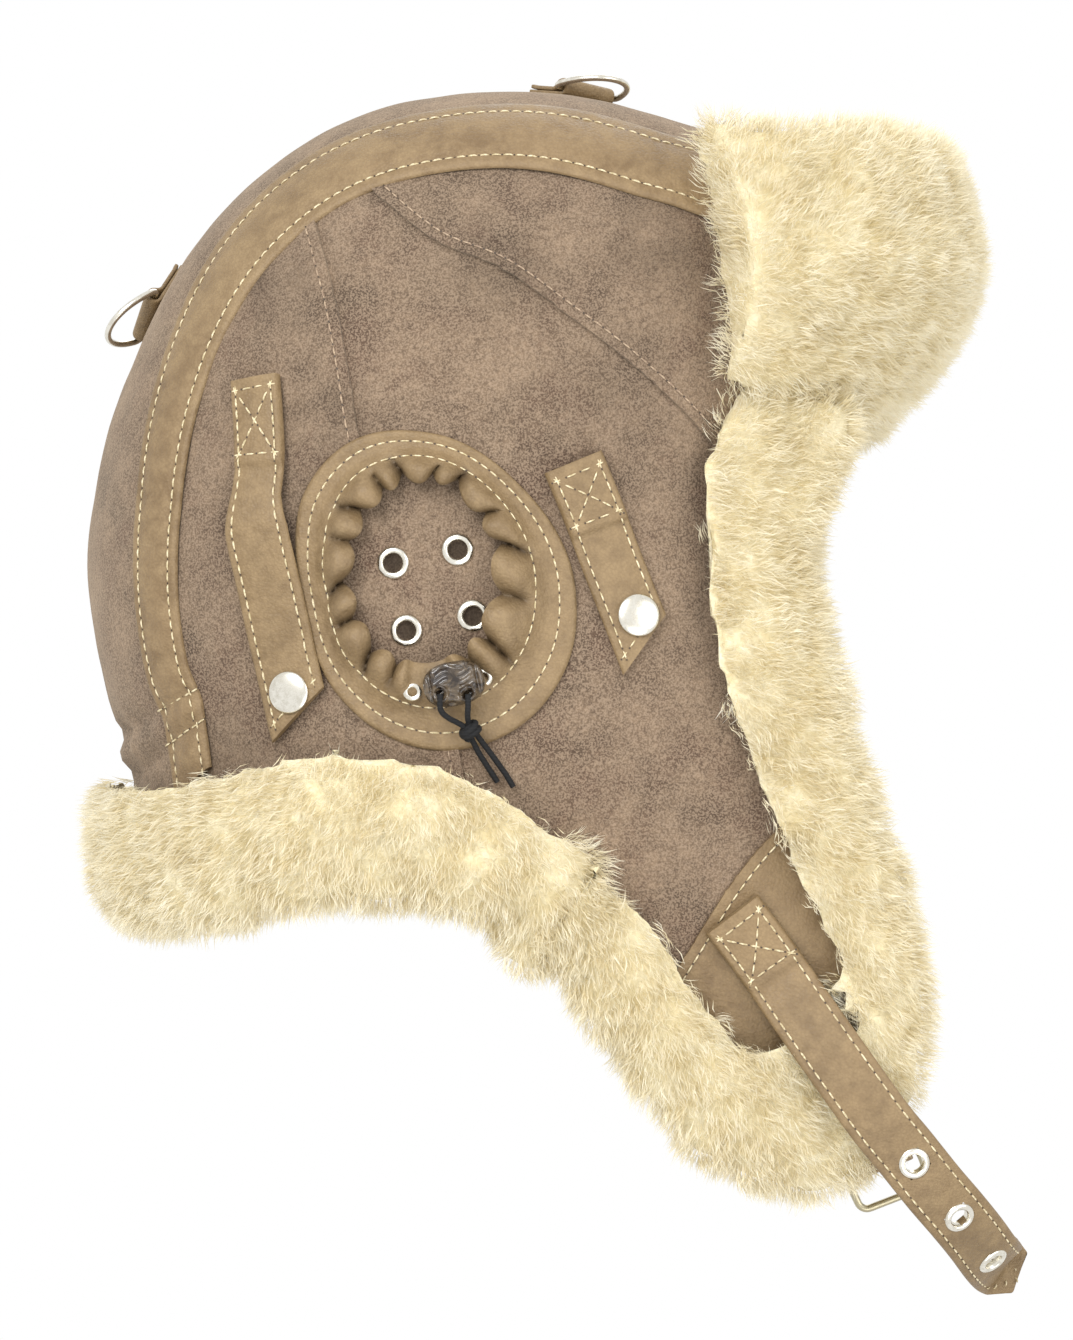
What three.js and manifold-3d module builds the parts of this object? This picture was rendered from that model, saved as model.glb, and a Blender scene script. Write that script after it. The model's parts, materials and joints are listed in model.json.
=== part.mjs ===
// Sheepskin flying helmet with turned-up visor, ear pockets and an open chin strap, as it hangs on a head.
// Millimetres. +X is the face side, +Z is up, -Y is the wearer's right.
// The origin is the inside top of the crown, where the head carries the helmet.
import * as THREE from "three";
import Module from "manifold-3d";

const wasm = await Module();
wasm.setup();

// Driving dimensions of the sheepskin body
const halfLength = 112; // ear line to the front or back of the crown, outside
const crownHeight = 135.5; // ear line to the top of the crown, outside
const flapDrop = 198; // ear line to the tip of the ear flap
const halfBreadth = 88; // middle to side at the ears, outside
const wall = 10; // hide with its clipped wool
const flapDrawIn = 12; // how far the flap tips lean in
const centreWidth = 112; // centre panel, seam to seam
const seamGap = 0.4; // slit between two sewn panels
const seamClear = 2; // from the centre seam to the first point of the flap's edge
const seamRunOut = 12; // a seam's cut runs on past the panel's edge by this
const seat = 0.3; // gap under a piece that lies on another
const bandSeat = 1; // the same under the long trim bands

// Smooth leather trim
const leather = 1.4; // one layer
const strapLeather = 2.4; // a strap's two glued layers
const strapSeat = 0.6; // gap under a strap
const strapWidth = 19;
const boxLength = 22; // folded and cross-stitched strap end
const foldLeather = 1.1; // extra height of a folded strap end

// Fur
const furOverhang = 13; // past the hide's edge
const furThickness = 16; // on the flaps and the nape
const furSeat = 4; // clears the leather band under it
const lockWidth = 22; // one lock of wool
const lockRelief = 2.4; // depth of the parting between two locks
const visorDepth = 44; // crown to the visor's foremost wool
const visorHeight = 93; // fold to top, at the forehead
const visorSpread = 57; // turn from the forehead's middle to each end, in degrees
const visorLift = 13; // its ends stand higher than the forehead's fold by this
const visorGap = 3.4; // crown to the visor's back, clears the leather band

// Ear pockets
const pocketReach = 48; // middle to the farthest sewn edge
const pocketRise = 7.5; // height of the gathered rim
const pocketHalfWidth = 22; // gathered opening
const pocketHalfHeight = 27;
const openingX = -2.2; // the opening's middle from the pocket's
const openingZ = 5;
const pleatCount = 11;
const pleatDepth = 2.6;
const eyeletReach = 14; // middle of the ear to each eyelet
const eyeletRadius = 4.8;
const eyeletBore = 2.8;
const eyeletHeight = 0.9;
const cordDiameter = 1.7;
const stopWidth = 18; // cord lock
const stopHeight = 13;
const stopDepth = 9.4;
const cordSpacing = 8; // the lock's two bores
const cordBrim = 1.2; // a cord eyelet's brim past the cord
const cordPlay = 0.35; // a cord in its bore or its knot
const knotWall = 0.6;
const knotLength = 2.6;

// Metal
const snapRadius = 6.3;
const snapHeight = 2.4;
const ringWire = 2;
const ringWidth = 20; // inside, along the bar
const ringReach = 13; // bar to the middle of the bow
const tabWidth = 18;
const tabLength = 17;
const barPlay = 0.4; // a bar in its leather loop
const buckleWire = 2.4;
const buckleWidth = 21; // inside, along the bar
const buckleReach = 10;

const right = -1;
const left = 1;
const centreX = 8.7; // ear line, where both halves of the length meet
const centreZ = wall - crownHeight;
const degree = Math.PI / 180;
const vec = (x, y, z) => new THREE.Vector3(x, y, z);
const mix = (a, b, t) => a + (b - a) * t;
const clamp = (t) => Math.min(1, Math.max(0, t));
const ease = (t) => clamp(t) ** 2 * (3 - 2 * clamp(t));
const stretch = (from, to, count) => Array.from({ length: count + 1 }, (_, i) => mix(from, to, i / count));

// Side profile of the crown and neck about the ear line: reach as a share of halfLength forward and back,
// crownHeight up and flapDrop down. Full is how square a cross section is.
const profile = [
  { deg: 0, reach: 0.985, full: 2.4 },
  { deg: 12, reach: 1.003, full: 2.4 },
  { deg: 20, reach: 1.066, full: 2.4 },
  { deg: 28, reach: 1.143, full: 2.5 },
  { deg: 38, reach: 1.216, full: 2.6 },
  { deg: 45, reach: 1.208, full: 2.8 },
  { deg: 51, reach: 1.159, full: 2.9 },
  { deg: 60, reach: 1.09, full: 3 },
  { deg: 74, reach: 1.038, full: 3 },
  { deg: 92, reach: 0.999, full: 2.9 },
  { deg: 112, reach: 0.992, full: 2.6 },
  { deg: 139, reach: 0.988, full: 2.35 },
  { deg: 157, reach: 0.987, full: 2.25 },
  { deg: 173, reach: 1.003, full: 2.2 },
  { deg: 184, reach: 1.019, full: 2.2 },
  { deg: 194, reach: 0.993, full: 2.2 },
  { deg: 200, reach: 0.962, full: 2.2 },
  { deg: 213, reach: 1.046, full: 2.2 },
  { deg: 225, reach: 1.35, full: 2.3 },
  { deg: 240, reach: 1.9, full: 2.4 },
  { deg: 270, reach: 2.2, full: 2.4 },
  { deg: 325, reach: 2.15, full: 2.4 },
  { deg: 338, reach: 1.58, full: 2.4 },
  { deg: 349, reach: 1.19, full: 2.4 },
];

// Edge of the hide from the forehead down the face side, round the flap's tip and back to the nape,
// and the inner edge of the turned-out fur beside each point. along and up are shares like the profile's,
// out is a share of furOverhang and high one of furThickness: the straps press the fur down.
const hideEdge = [
  { along: 0.832, up: 0.045, furAlong: 0.634, furUp: 0.252, out: 1.3, high: 0.9 },
  { along: 0.824, up: 0.01, furAlong: 0.6, furUp: 0.17, out: 1.45, high: 1 },
  { along: 0.855, up: -0.073, furAlong: 0.595, furUp: 0.06, out: 1.4, high: 1 },
  { along: 0.885, up: -0.174, furAlong: 0.607, furUp: -0.089, out: 1.25, high: 1 },
  { along: 0.931, up: -0.275, furAlong: 0.645, furUp: -0.2, out: 1.25, high: 1 },
  { along: 1.012, up: -0.4, furAlong: 0.72, furUp: -0.32, out: 1.3, high: 1 },
  { along: 1.1, up: -0.553, furAlong: 0.79, furUp: -0.436, out: 1.35, high: 1 },
  { along: 1.15, up: -0.69, furAlong: 0.881, furUp: -0.545, out: 1.25, high: 0.9 },
  { along: 1.145, up: -0.81, furAlong: 0.95, furUp: -0.64, out: 1.1, high: 0.6 },
  { along: 1.06, up: -0.895, furAlong: 0.91, furUp: -0.69, out: 1, high: 0.55 },
  { along: 0.92, up: -0.93, furAlong: 0.84, furUp: -0.73, out: 0.95, high: 0.75 },
  { along: 0.77, up: -0.92, furAlong: 0.76, furUp: -0.745, out: 0.95, high: 0.95 },
  { along: 0.64, up: -0.875, furAlong: 0.69, furUp: -0.715, out: 0.95, high: 1 },
  { along: 0.52, up: -0.8, furAlong: 0.61, furUp: -0.65, out: 0.9, high: 1 },
  { along: 0.4, up: -0.705, furAlong: 0.516, furUp: -0.576, out: 0.9, high: 1 },
  { along: 0.28, up: -0.61, furAlong: 0.4, furUp: -0.5, out: 0.9, high: 1 },
  { along: 0.13, up: -0.54, furAlong: 0.245, furUp: -0.42, out: 0.85, high: 1 },
  { along: -0.05, up: -0.508, furAlong: 0.06, furUp: -0.36, out: 0.8, high: 1 },
  { along: -0.25, up: -0.503, furAlong: -0.2, furUp: -0.311, out: 0.8, high: 1 },
  { along: -0.45, up: -0.512, furAlong: -0.43, furUp: -0.318, out: 0.8, high: 1 },
  { along: -0.6, up: -0.535, furAlong: -0.58, furUp: -0.34, out: 0.75, high: 1 },
  { along: -0.7, up: -0.55, furAlong: -0.68, furUp: -0.355, out: 0.75, high: 1 },
];
const napeUp = -0.55; // hide's edge across the nape
const napeFurUp = -0.36; // fur's upper edge there

// Edges of the leather band over the seam, as shares of the profile's reach
const bandEdges = [
  { deg: 0, outer: 0.93, inner: 0.8 },
  { deg: 50, outer: 0.943, inner: 0.796 },
  { deg: 92, outer: 0.945, inner: 0.802 },
  { deg: 127, outer: 0.938, inner: 0.795 },
  { deg: 155, outer: 0.895, inner: 0.765 },
  { deg: 180, outer: 0.852, inner: 0.735 },
  { deg: 196, outer: 0.862, inner: 0.752 },
  { deg: 215, outer: 0.86, inner: 0.75 },
  { deg: 300, outer: 0.9, inner: 0.78 },
];
const bandFrom = 24;
const bandTo = 207;

// Seams that part the side into panels, as shares like the profile's
const seams = {
  diagonal: [
    [-0.33, 0.83],
    [-0.074, 0.651],
    [0.103, 0.586],
    [0.267, 0.489],
    [0.442, 0.38],
    [0.63, 0.234],
    [0.79, 0.05],
    [1.05, -0.2],
  ],
  upright: [
    [-0.42, 0.8],
    [-0.332, 0.519],
    [-0.302, 0.39],
    [-0.271, 0.233],
    [-0.163, -0.078],
    [-0.011, -0.307],
    [0.02, -0.477],
    [0.03, -0.7],
  ],
  chin: [
    [1.1, -0.3],
    [0.778, -0.455],
    [0.581, -0.617],
    [0.3, -0.9],
  ],
};

// Sewn outline of an ear pocket, as shares of pocketReach
const pocketOutline = [
  { deg: 0, reach: 0.87 },
  { deg: 48, reach: 0.83 },
  { deg: 90, reach: 0.955 },
  { deg: 117, reach: 1.03 },
  { deg: 142, reach: 0.98 },
  { deg: 165, reach: 0.86 },
  { deg: 190, reach: 0.79 },
  { deg: 226, reach: 0.85 },
  { deg: 270, reach: 0.97 },
  { deg: 300, reach: 0.985 },
  { deg: 330, reach: 0.94 },
];

// A smooth curve through one column of a table whose deg column runs round a full turn
function around(table, column) {
  const count = table.length;
  const row = (i) => {
    const turn = Math.floor(i / count);
    const found = table[i - turn * count];
    return { deg: found.deg + 360 * turn, value: found[column] };
  };
  const slope = (i) => (row(i + 1).value - row(i - 1).value) / (row(i + 1).deg - row(i - 1).deg);
  return (angle) => {
    const deg = ((angle % 360) + 360) % 360;
    let i = count - 1;
    while (i > 0 && table[i].deg > deg) i -= 1;
    const [low, high] = [row(i), row(i + 1)];
    const span = high.deg - low.deg;
    const t = (deg - low.deg) / span;
    const [t2, t3] = [t * t, t * t * t];
    return (
      (2 * t3 - 3 * t2 + 1) * low.value +
      (t3 - 2 * t2 + t) * span * slope(i) +
      (3 * t2 - 2 * t3) * high.value +
      (t3 - t2) * span * slope(i + 1)
    );
  };
}

const reachAt = around(profile, "reach");
const fullAt = around(profile, "full");
const pocketAt = around(pocketOutline, "reach");

// Side-view shares to millimetres, and back
const sideX = (along) => centreX + along * halfLength;
const sideZ = (up) => centreZ + up * (up > 0 ? crownHeight : flapDrop);
const shareX = (x) => (x - centreX) / halfLength;
const shareZ = (z) => (z - centreZ) / (z > centreZ ? crownHeight : flapDrop);

const drawInStart = 0.25;
const breadthAt = (up) => halfBreadth - flapDrawIn * ease((-up - drawInStart) / (1 - drawInStart));

function polar(along, up) {
  const deg = Math.atan2(up, along) / degree;
  return { deg, share: Math.hypot(along, up) / reachAt(deg), full: fullAt(deg) };
}

// Above 0 outside the body's outer skin, below 0 inside
function level(p) {
  const up = shareZ(p.z);
  const { share, full } = polar(shareX(p.x), up);
  return (Math.abs(p.y) / breadthAt(up)) ** full + share ** full - 1;
}

// Point of the outer skin at a side-view place in millimetres
function onSide(x, z, side) {
  const up = shareZ(z);
  const { share, full } = polar(shareX(x), up);
  return vec(x, side * breadthAt(up) * Math.max(0, 1 - share ** full) ** (1 / full), z);
}

// Point of the outer skin on the profile's ray at an angle, y millimetres off the middle
function onCrown(deg, y) {
  const full = fullAt(deg);
  let share = 1;
  let up = 0;
  for (let pass = 0; pass < 4; pass += 1) {
    up = share * reachAt(deg) * Math.sin(deg * degree);
    share = (1 - (Math.abs(y) / breadthAt(up)) ** full) ** (1 / full);
  }
  return vec(sideX(share * reachAt(deg) * Math.cos(deg * degree)), y, sideZ(up));
}

function outward(p) {
  const step = 0.2;
  const beside = (axis, amount) => level(p.clone().addScaledVector(axis, amount));
  const slope = (axis) => beside(axis, step) - beside(axis, -step);
  return vec(slope(vec(1, 0, 0)), slope(vec(0, 1, 0)), slope(vec(0, 0, 1))).normalize();
}

const lift = (p, height) => p.clone().addScaledVector(outward(p), height);

// Closed mesh from points and triangles: equal points are joined and the faces turned outwards
function closed(points, faces) {
  const places = new Map();
  const kept = [];
  const place = points.map((p) => {
    const key = p.toArray().map((n) => n.toFixed(3)).join();
    if (!places.has(key)) {
      places.set(key, kept.length);
      kept.push(p);
    }
    return places.get(key);
  });
  const joined = faces.map((face) => face.map((i) => place[i]));
  let triangles = joined.filter(([a, b, c]) => a !== b && b !== c && c !== a);
  const volume = triangles.reduce((sum, [a, b, c]) => sum + kept[a].dot(kept[b].clone().cross(kept[c])), 0);
  if (volume < 0) triangles = triangles.map(([a, b, c]) => [a, c, b]);
  const geometry = new THREE.BufferGeometry().setFromPoints(kept);
  return geometry.setIndex(triangles.flat());
}

// Loft through rows that each have a top chain and an under chain of equal length.
// A loop joins its last row to its first.
function loft(rows, loop = false) {
  const width = rows[0].top.length;
  const points = rows.flatMap((row) => [...row.top, ...[...row.under].reverse()]);
  const faces = [];
  const quad = (a, b, c, d) => faces.push([a, b, c], [a, c, d]);
  const ringSize = 2 * width;
  for (let i = 0; i < rows.length - (loop ? 0 : 1); i += 1) {
    const [low, high] = [i * ringSize, ((i + 1) % rows.length) * ringSize];
    for (let j = 0; j < ringSize; j += 1) {
      const k = (j + 1) % ringSize;
      quad(low + j, low + k, high + k, high + j);
    }
  }
  if (!loop) {
    const last = (rows.length - 1) * ringSize;
    for (let j = 0; j < width - 1; j += 1) {
      quad(j, ringSize - 1 - j, ringSize - 2 - j, j + 1);
      quad(last + j, last + j + 1, last + ringSize - 2 - j, last + ringSize - 1 - j);
    }
  }
  return closed(points, faces);
}

const middleOf = (ring) => ring.reduce((sum, p) => sum.add(p), vec(0, 0, 0)).divideScalar(ring.length);

// Skin through closed section rings, closed at both ends by a fan from a hub that sees the whole ring
function banded(rings, hub = middleOf) {
  const width = rings[0].length;
  const points = rings.flat();
  const faces = [];
  for (let i = 0; i < rings.length - 1; i += 1) {
    for (let j = 0; j < width; j += 1) {
      const k = (j + 1) % width;
      const [low, high] = [i * width, (i + 1) * width];
      faces.push([low + j, low + k, high + k], [low + j, high + k, high + j]);
    }
  }
  for (const [ring, start, flip] of [
    [rings[0], 0, true],
    [rings.at(-1), (rings.length - 1) * width, false],
  ]) {
    points.push(hub(ring));
    for (let j = 0; j < width; j += 1) {
      const pair = [start + j, start + ((j + 1) % width)];
      faces.push([points.length - 1, ...(flip ? pair.reverse() : pair)]);
    }
  }
  return closed(points, faces);
}

// Round wire through points that lie in one plane and close on themselves
function wireLoop(points, normal, radius, sides) {
  const rows = points.map((p, i) => {
    const ahead = points[(i + 1) % points.length];
    const behind = points[(i + points.length - 1) % points.length];
    const across = ahead.clone().sub(behind).cross(normal).normalize();
    return Array.from({ length: sides }, (_, k) => {
      const turn = (2 * Math.PI * k) / sides;
      const out = p.clone().addScaledVector(across, radius * Math.cos(turn));
      return out.addScaledVector(normal, radius * Math.sin(turn));
    });
  });
  const faces = [];
  rows.forEach((_, i) => {
    const [low, high] = [i * sides, ((i + 1) % rows.length) * sides];
    for (let j = 0; j < sides; j += 1) {
      const k = (j + 1) % sides;
      faces.push([low + j, low + k, high + k], [low + j, high + k, high + j]);
    }
  });
  return closed(rows.flat(), faces);
}

// manifold-3d solids, for cutting and joining only
function toSolid(geometry) {
  const plain = geometry.index ? geometry.toNonIndexed() : geometry;
  const position = plain.getAttribute("position");
  const pointAt = (_, i) => new THREE.Vector3().fromBufferAttribute(position, i);
  const points = Array.from({ length: position.count }, pointAt);
  const faces = Array.from({ length: position.count / 3 }, (_, i) => [3 * i, 3 * i + 1, 3 * i + 2]);
  const merged = closed(points, faces);
  return new wasm.Manifold(
    new wasm.Mesh({
      numProp: 3,
      vertProperties: new Float32Array(merged.getAttribute("position").array),
      triVerts: new Uint32Array(merged.index.array),
    }),
  );
}

function fromSolid(solid) {
  const made = solid.getMesh();
  const geometry = new THREE.BufferGeometry();
  geometry.setAttribute("position", new THREE.BufferAttribute(new Float32Array(made.vertProperties), 3));
  return geometry.setIndex(new THREE.BufferAttribute(new Uint32Array(made.triVerts), 1));
}

// Leather, hide, fur and metal
function material(color, roughness, metalness = 0) {
  return new THREE.MeshStandardMaterial({ color, roughness, metalness });
}
const suede = material(0x9b8570, 0.95);
const smoothLeather = material(0xb3946f, 0.55);
const fleece = material(0xeadcb0, 1);
const nickel = material(0xd8d4c4, 0.25, 1);
const brassWire = material(0x9a937c, 0.35, 1);
const darkPlastic = material(0x3a3026, 0.35);
const blackCord = material(0x111111, 0.8);

const helmet = new THREE.Group();
function add(name, geometry, finish, parent = helmet) {
  const mesh = new THREE.Mesh(geometry, finish);
  mesh.name = name;
  parent.add(mesh);
  return mesh;
}

// Hide's edge and the fur's inner edge beside it, in side view
const rowCurve = (along, up) =>
  new THREE.CatmullRomCurve3(
    hideEdge.map((row) => vec(sideX(row[along]), 0, sideZ(row[up]))),
    false,
    "centripetal",
  );
const edgeCurve = rowCurve("along", "up");
const furCurve = rowCurve("furAlong", "furUp");
const alongRows = (t, column) => {
  const place = clamp(t) * (hideEdge.length - 1);
  const i = Math.min(hideEdge.length - 2, Math.floor(place));
  return mix(hideEdge[i][column], hideEdge[i + 1][column], place - i);
};

// Centre panel, from the forehead over the crown to the nape
const seamHalf = centreWidth / 2;
const foreheadDeg = 11;
// Angle at which the skin reaches a height on the nape
function napeDeg(up, y) {
  let [low, high] = [195, 250];
  for (let pass = 0; pass < 24; pass += 1) {
    const middle = (low + high) / 2;
    if (onCrown(middle, y).z > sideZ(up)) low = middle;
    else high = middle;
  }
  return low;
}
// The elastic's stitched channel across the nape: two creases with a low roll between them
const channel = { middle: 199.5, half: 2, roll: 2.2, crease: 1.6 };
function channelHeight(deg) {
  const away = Math.abs(deg - channel.middle) / channel.half;
  const roll = channel.roll * Math.exp(-((away / 0.6) ** 2));
  return roll - channel.crease * Math.exp(-(((away - 1) / 0.35) ** 2));
}
// Angles of the rows that both sides of the seam share, y millimetres off the middle
function seamDegs(y) {
  const { middle, half } = channel;
  const [first, last] = [middle - 1.8 * half, middle + 1.8 * half];
  const crown = stretch(foreheadDeg, first, 17);
  const nape = [0.35, 0.7, 1].map((t) => mix(last, napeDeg(napeUp, y), t));
  return [...crown, middle - half, middle, middle + half, last, ...nape];
}
function centrePanel() {
  const across = [-1, -0.84, -0.42, 0, 0.42, 0.84, 1];
  const columns = across.map((s) => seamDegs(s * seamHalf));
  const rows = columns[0].map((_, row) => {
    const degs = columns.map((column) => column[row]);
    const skin = degs.map((deg, i) => onCrown(deg, across[i] * (seamHalf - seamGap / 2)));
    return {
      top: skin.map((p, i) => lift(p, Math.abs(across[i]) < 0.8 ? channelHeight(degs[i]) : 0)),
      under: skin.map((p) => lift(p, -wall)),
    };
  });
  return loft(rows);
}
add("crown_centre_panel", centrePanel(), suede);

// Ear pocket layout
const earX = sideX(-0.078);
const earZ = sideZ(-0.075);
const discShare = 0.8; // ear disc, as a share of the pocket's outline
const fromEar = (deg, reach) =>
  vec(earX + reach * Math.cos(deg * degree), 0, earZ + reach * Math.sin(deg * degree));
const pocketEdge = (deg, share) => fromEar(deg, pocketReach * pocketAt(deg) * share);

// Side wall: rays from the ear disc's edge out to the seam above and the hide's edge below
function sideOutline() {
  const ySeam = seamHalf + seamGap / 2;
  const upper = [foreheadDeg - 3.4, ...seamDegs(seamHalf)].map((deg) => onCrown(deg, ySeam));
  const lower = [];
  const edgeSteps = 22;
  for (let i = edgeSteps; i >= 0; i -= 1) {
    const p = edgeCurve.getPointAt(i / edgeSteps);
    if (Math.abs(onSide(p.x, p.z, left).y) > ySeam + seamClear) lower.push(p);
  }
  return [...upper, ...lower];
}
function sideWall(side) {
  const rings = [0, 0.36, 0.7, 1];
  const rows = sideOutline().map((p) => {
    const deg = Math.atan2(p.z - earZ, p.x - earX) / degree;
    const inner = pocketEdge(deg, discShare + (2 * seamGap) / pocketReach);
    const skin = rings.map((f) => onSide(mix(inner.x, p.x, f), mix(inner.z, p.z, f), side));
    return { top: skin, under: skin.map((s) => lift(s, -wall)) };
  });
  return toSolid(loft(rows, true));
}

// A prism on a side-view outline, from the middle out past the side
const prismDepth = halfBreadth * 2;
function sidePrism(outline, side) {
  const shape = new THREE.Shape(outline.map((p) => new THREE.Vector2(p.x, p.z)));
  const geometry = new THREE.ExtrudeGeometry(shape, { depth: prismDepth, bevelEnabled: false });
  geometry.rotateX(Math.PI / 2);
  if (side === left) geometry.translate(0, prismDepth, 0);
  return toSolid(geometry);
}
function seamPrism(points, side) {
  const line = points.map(([along, up]) => vec(sideX(along), 0, sideZ(up)));
  const beyond = (end, before) => {
    const away = end.clone().sub(before).normalize();
    return end.clone().addScaledVector(away, seamRunOut);
  };
  const curve = new THREE.CatmullRomCurve3([
    beyond(line[0], line[1]),
    ...line,
    beyond(line.at(-1), line.at(-2)),
  ]);
  const steps = 9;
  const offset = (amount) =>
    curve.getPoints(steps).map((p, i) => {
      const tangent = curve.getTangent(i / steps);
      return vec(p.x - tangent.z * amount, 0, p.z + tangent.x * amount);
    });
  return sidePrism([...offset(seamGap / 2), ...offset(-seamGap / 2).reverse()], side);
}

const eyeletPlaces = [58, 145, 237, 328].map((deg) => fromEar(deg, eyeletReach));

// Puts a piece's +Z along the skin's outward direction and its +X forward, at a height over the skin
function seatOn(mesh, x, z, side, height = 0, turn = 0) {
  const p = onSide(x, z, side);
  const normal = outward(p);
  const across = vec(1, 0, 0).addScaledVector(normal, -normal.x).normalize();
  const basis = new THREE.Matrix4().makeBasis(across, normal.clone().cross(across), normal);
  mesh.quaternion.setFromRotationMatrix(basis);
  mesh.rotateZ(turn);
  mesh.position.copy(p).addScaledVector(normal, height);
  return mesh;
}
function placedSolid(mesh) {
  mesh.updateMatrixWorld();
  return toSolid(mesh.geometry.clone().applyMatrix4(mesh.matrixWorld));
}

// A turned shape about +Z from an outline of radius and height, closed unless it starts on the axis
function turned(outline, segments) {
  const whole = outline[0][0] > 0 ? [...outline, outline[0]] : outline;
  const points = whole.map(([r, h]) => new THREE.Vector2(r, h));
  return new THREE.LatheGeometry(points, segments).rotateX(Math.PI / 2);
}
const eyeletSides = 8;
const shankWall = 0.45;
const eyelet = (shank) =>
  turned(
    [
      [eyeletBore, -shank],
      [eyeletBore + shankWall, -shank],
      [eyeletBore + shankWall, 0],
      [eyeletRadius, 0],
      [eyeletBore + 0.6 * shankWall, eyeletHeight],
    ],
    eyeletSides,
  );
const eyeletHole = new THREE.CylinderGeometry(
  eyeletBore + shankWall + seat,
  eyeletBore + shankWall + seat,
  wall * 3,
  eyeletSides,
).rotateX(Math.PI / 2);

function panels(side, hand) {
  const slits = Object.values(seams).map((points) => seamPrism(points, side));
  const cut = slits.reduce((solid, slit) => solid.subtract(slit), sideWall(side));
  const largest = {};
  for (const piece of cut.decompose()) {
    const box = piece.boundingBox();
    const along = shareX((box.min[0] + box.max[0]) / 2);
    const up = shareZ((box.min[2] + box.max[2]) / 2);
    const upper = up > 0.3 ? "brow_panel" : "cheek_panel";
    const name = up < -0.5 && along > 0.4 ? "chin_patch" : along < -0.3 ? "rear_panel" : upper;
    if (piece.volume() > (largest[name]?.volume() ?? 50)) largest[name] = piece;
  }
  for (const [name, piece] of Object.entries(largest)) {
    add(`${name}_${hand}`, fromSolid(piece), name === "chin_patch" ? smoothLeather : suede);
  }
}

function earDisc(side) {
  const rays = 16;
  const rows = Array.from({ length: rays }, (_, i) => {
    const rim = pocketEdge((360 * i) / rays, discShare);
    const skin = [0, 0.6, 1].map((f) => onSide(mix(earX, rim.x, f), mix(earZ, rim.z, f), side));
    return { top: skin, under: skin.map((s) => lift(s, -wall)) };
  });
  const holeAt = ({ x, z }) => placedSolid(seatOn(new THREE.Mesh(eyeletHole), x, z, side));
  const holes = eyeletPlaces.map(holeAt);
  return fromSolid(holes.reduce((solid, hole) => solid.subtract(hole), toSolid(loft(rows, true))));
}

// Gathered ring: a flat sewn flange, a pleated rise and a pleated rim round the ear's opening
function pocketRow(deg) {
  const pleat = Math.cos(pleatCount * deg * degree);
  const flat = ease(-1.5 * Math.sin((deg + 6) * degree) - 0.4); // pulled flat under the cord lock
  const depth = pleatDepth * pleat * (1 - flat);
  const outer = pocketEdge(deg, 1);
  const sewn = pocketEdge(deg, 0.86);
  const rim = vec(
    earX + openingX + (pocketHalfWidth + depth) * Math.cos(deg * degree),
    0,
    earZ + openingZ + (pocketHalfHeight + depth) * Math.sin(deg * degree),
  );
  const rise = pocketRise * (1 - 0.45 * flat);
  return [
    { place: outer, height: seat },
    { place: sewn, height: seat },
    { place: sewn.clone().lerp(rim, 0.55), height: seat + rise + depth * 0.5 },
    { place: rim, height: seat + rise * 0.45 },
  ];
}
function earPocket(side) {
  const stations = pleatCount * 3;
  const rows = Array.from({ length: stations }, (_, i) => {
    const row = pocketRow((360 * i) / stations);
    const layer = (extra) =>
      row.map(({ place, height }) => lift(onSide(place.x, place.z, side), height + extra));
    return { top: layer(leather), under: layer(0) };
  });
  return loft(rows, true);
}

function trimBand(side) {
  const outerAt = around(bandEdges, "outer");
  const innerAt = around(bandEdges, "inner");
  const rows = stretch(bandFrom, bandTo, 30).map((deg) => {
    const skin = [0, 0.5, 1].map((f) => {
      const reach = reachAt(deg) * mix(outerAt(deg), innerAt(deg), f);
      return onSide(sideX(reach * Math.cos(deg * degree)), sideZ(reach * Math.sin(deg * degree)), side);
    });
    return { top: skin.map((p) => lift(p, bandSeat + leather)), under: skin.map((p) => lift(p, bandSeat)) };
  });
  return loft(rows);
}

for (const [side, hand] of [
  [right, "right"],
  [left, "left"],
]) {
  panels(side, hand);
  add(`ear_disc_${hand}`, earDisc(side), suede);
  add(`ear_pocket_${hand}`, earPocket(side), smoothLeather);
  add(`trim_band_${hand}`, trimBand(side), smoothLeather);
  eyeletPlaces.forEach((spot, i) => {
    seatOn(add(`ear_eyelet_${hand}_${i + 1}`, eyelet(wall / 2), nickel), spot.x, spot.z, side, seat);
  });
}

// Turned-out sheepskin. Each section starts at the fur's inner edge, crosses the hide to its edge and wraps
// the wall. along is the share from inner edge to hide edge, past is a share of the overhang beyond it,
// high one of the thickness, deep one of the wall, seat one of furSeat, and tuft how much of the lock
// relief the point takes.
const furSection = [
  { along: 0.05, seat: 1, tuft: 0 },
  { along: 0.55, seat: 1, tuft: 0 },
  { along: 1, past: 0.075, seat: 1, tuft: 0 },
  { along: 1, past: 0.075, deep: 1.05, tuft: 0 },
  { along: 1, past: 0.6, deep: 1.25, tuft: 0.5 },
  { along: 1, past: 1, deep: 0.35, tuft: 1 },
  { along: 1, past: 0.8, high: 0.5, tuft: 1 },
  { along: 0.85, high: 0.93, tuft: 1 },
  { along: 0.4, high: 1, tuft: 1 },
  { along: 0, high: 0.72, tuft: 1 },
  { along: -0.12, high: 0.42, tuft: 0.6 },
];
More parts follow.
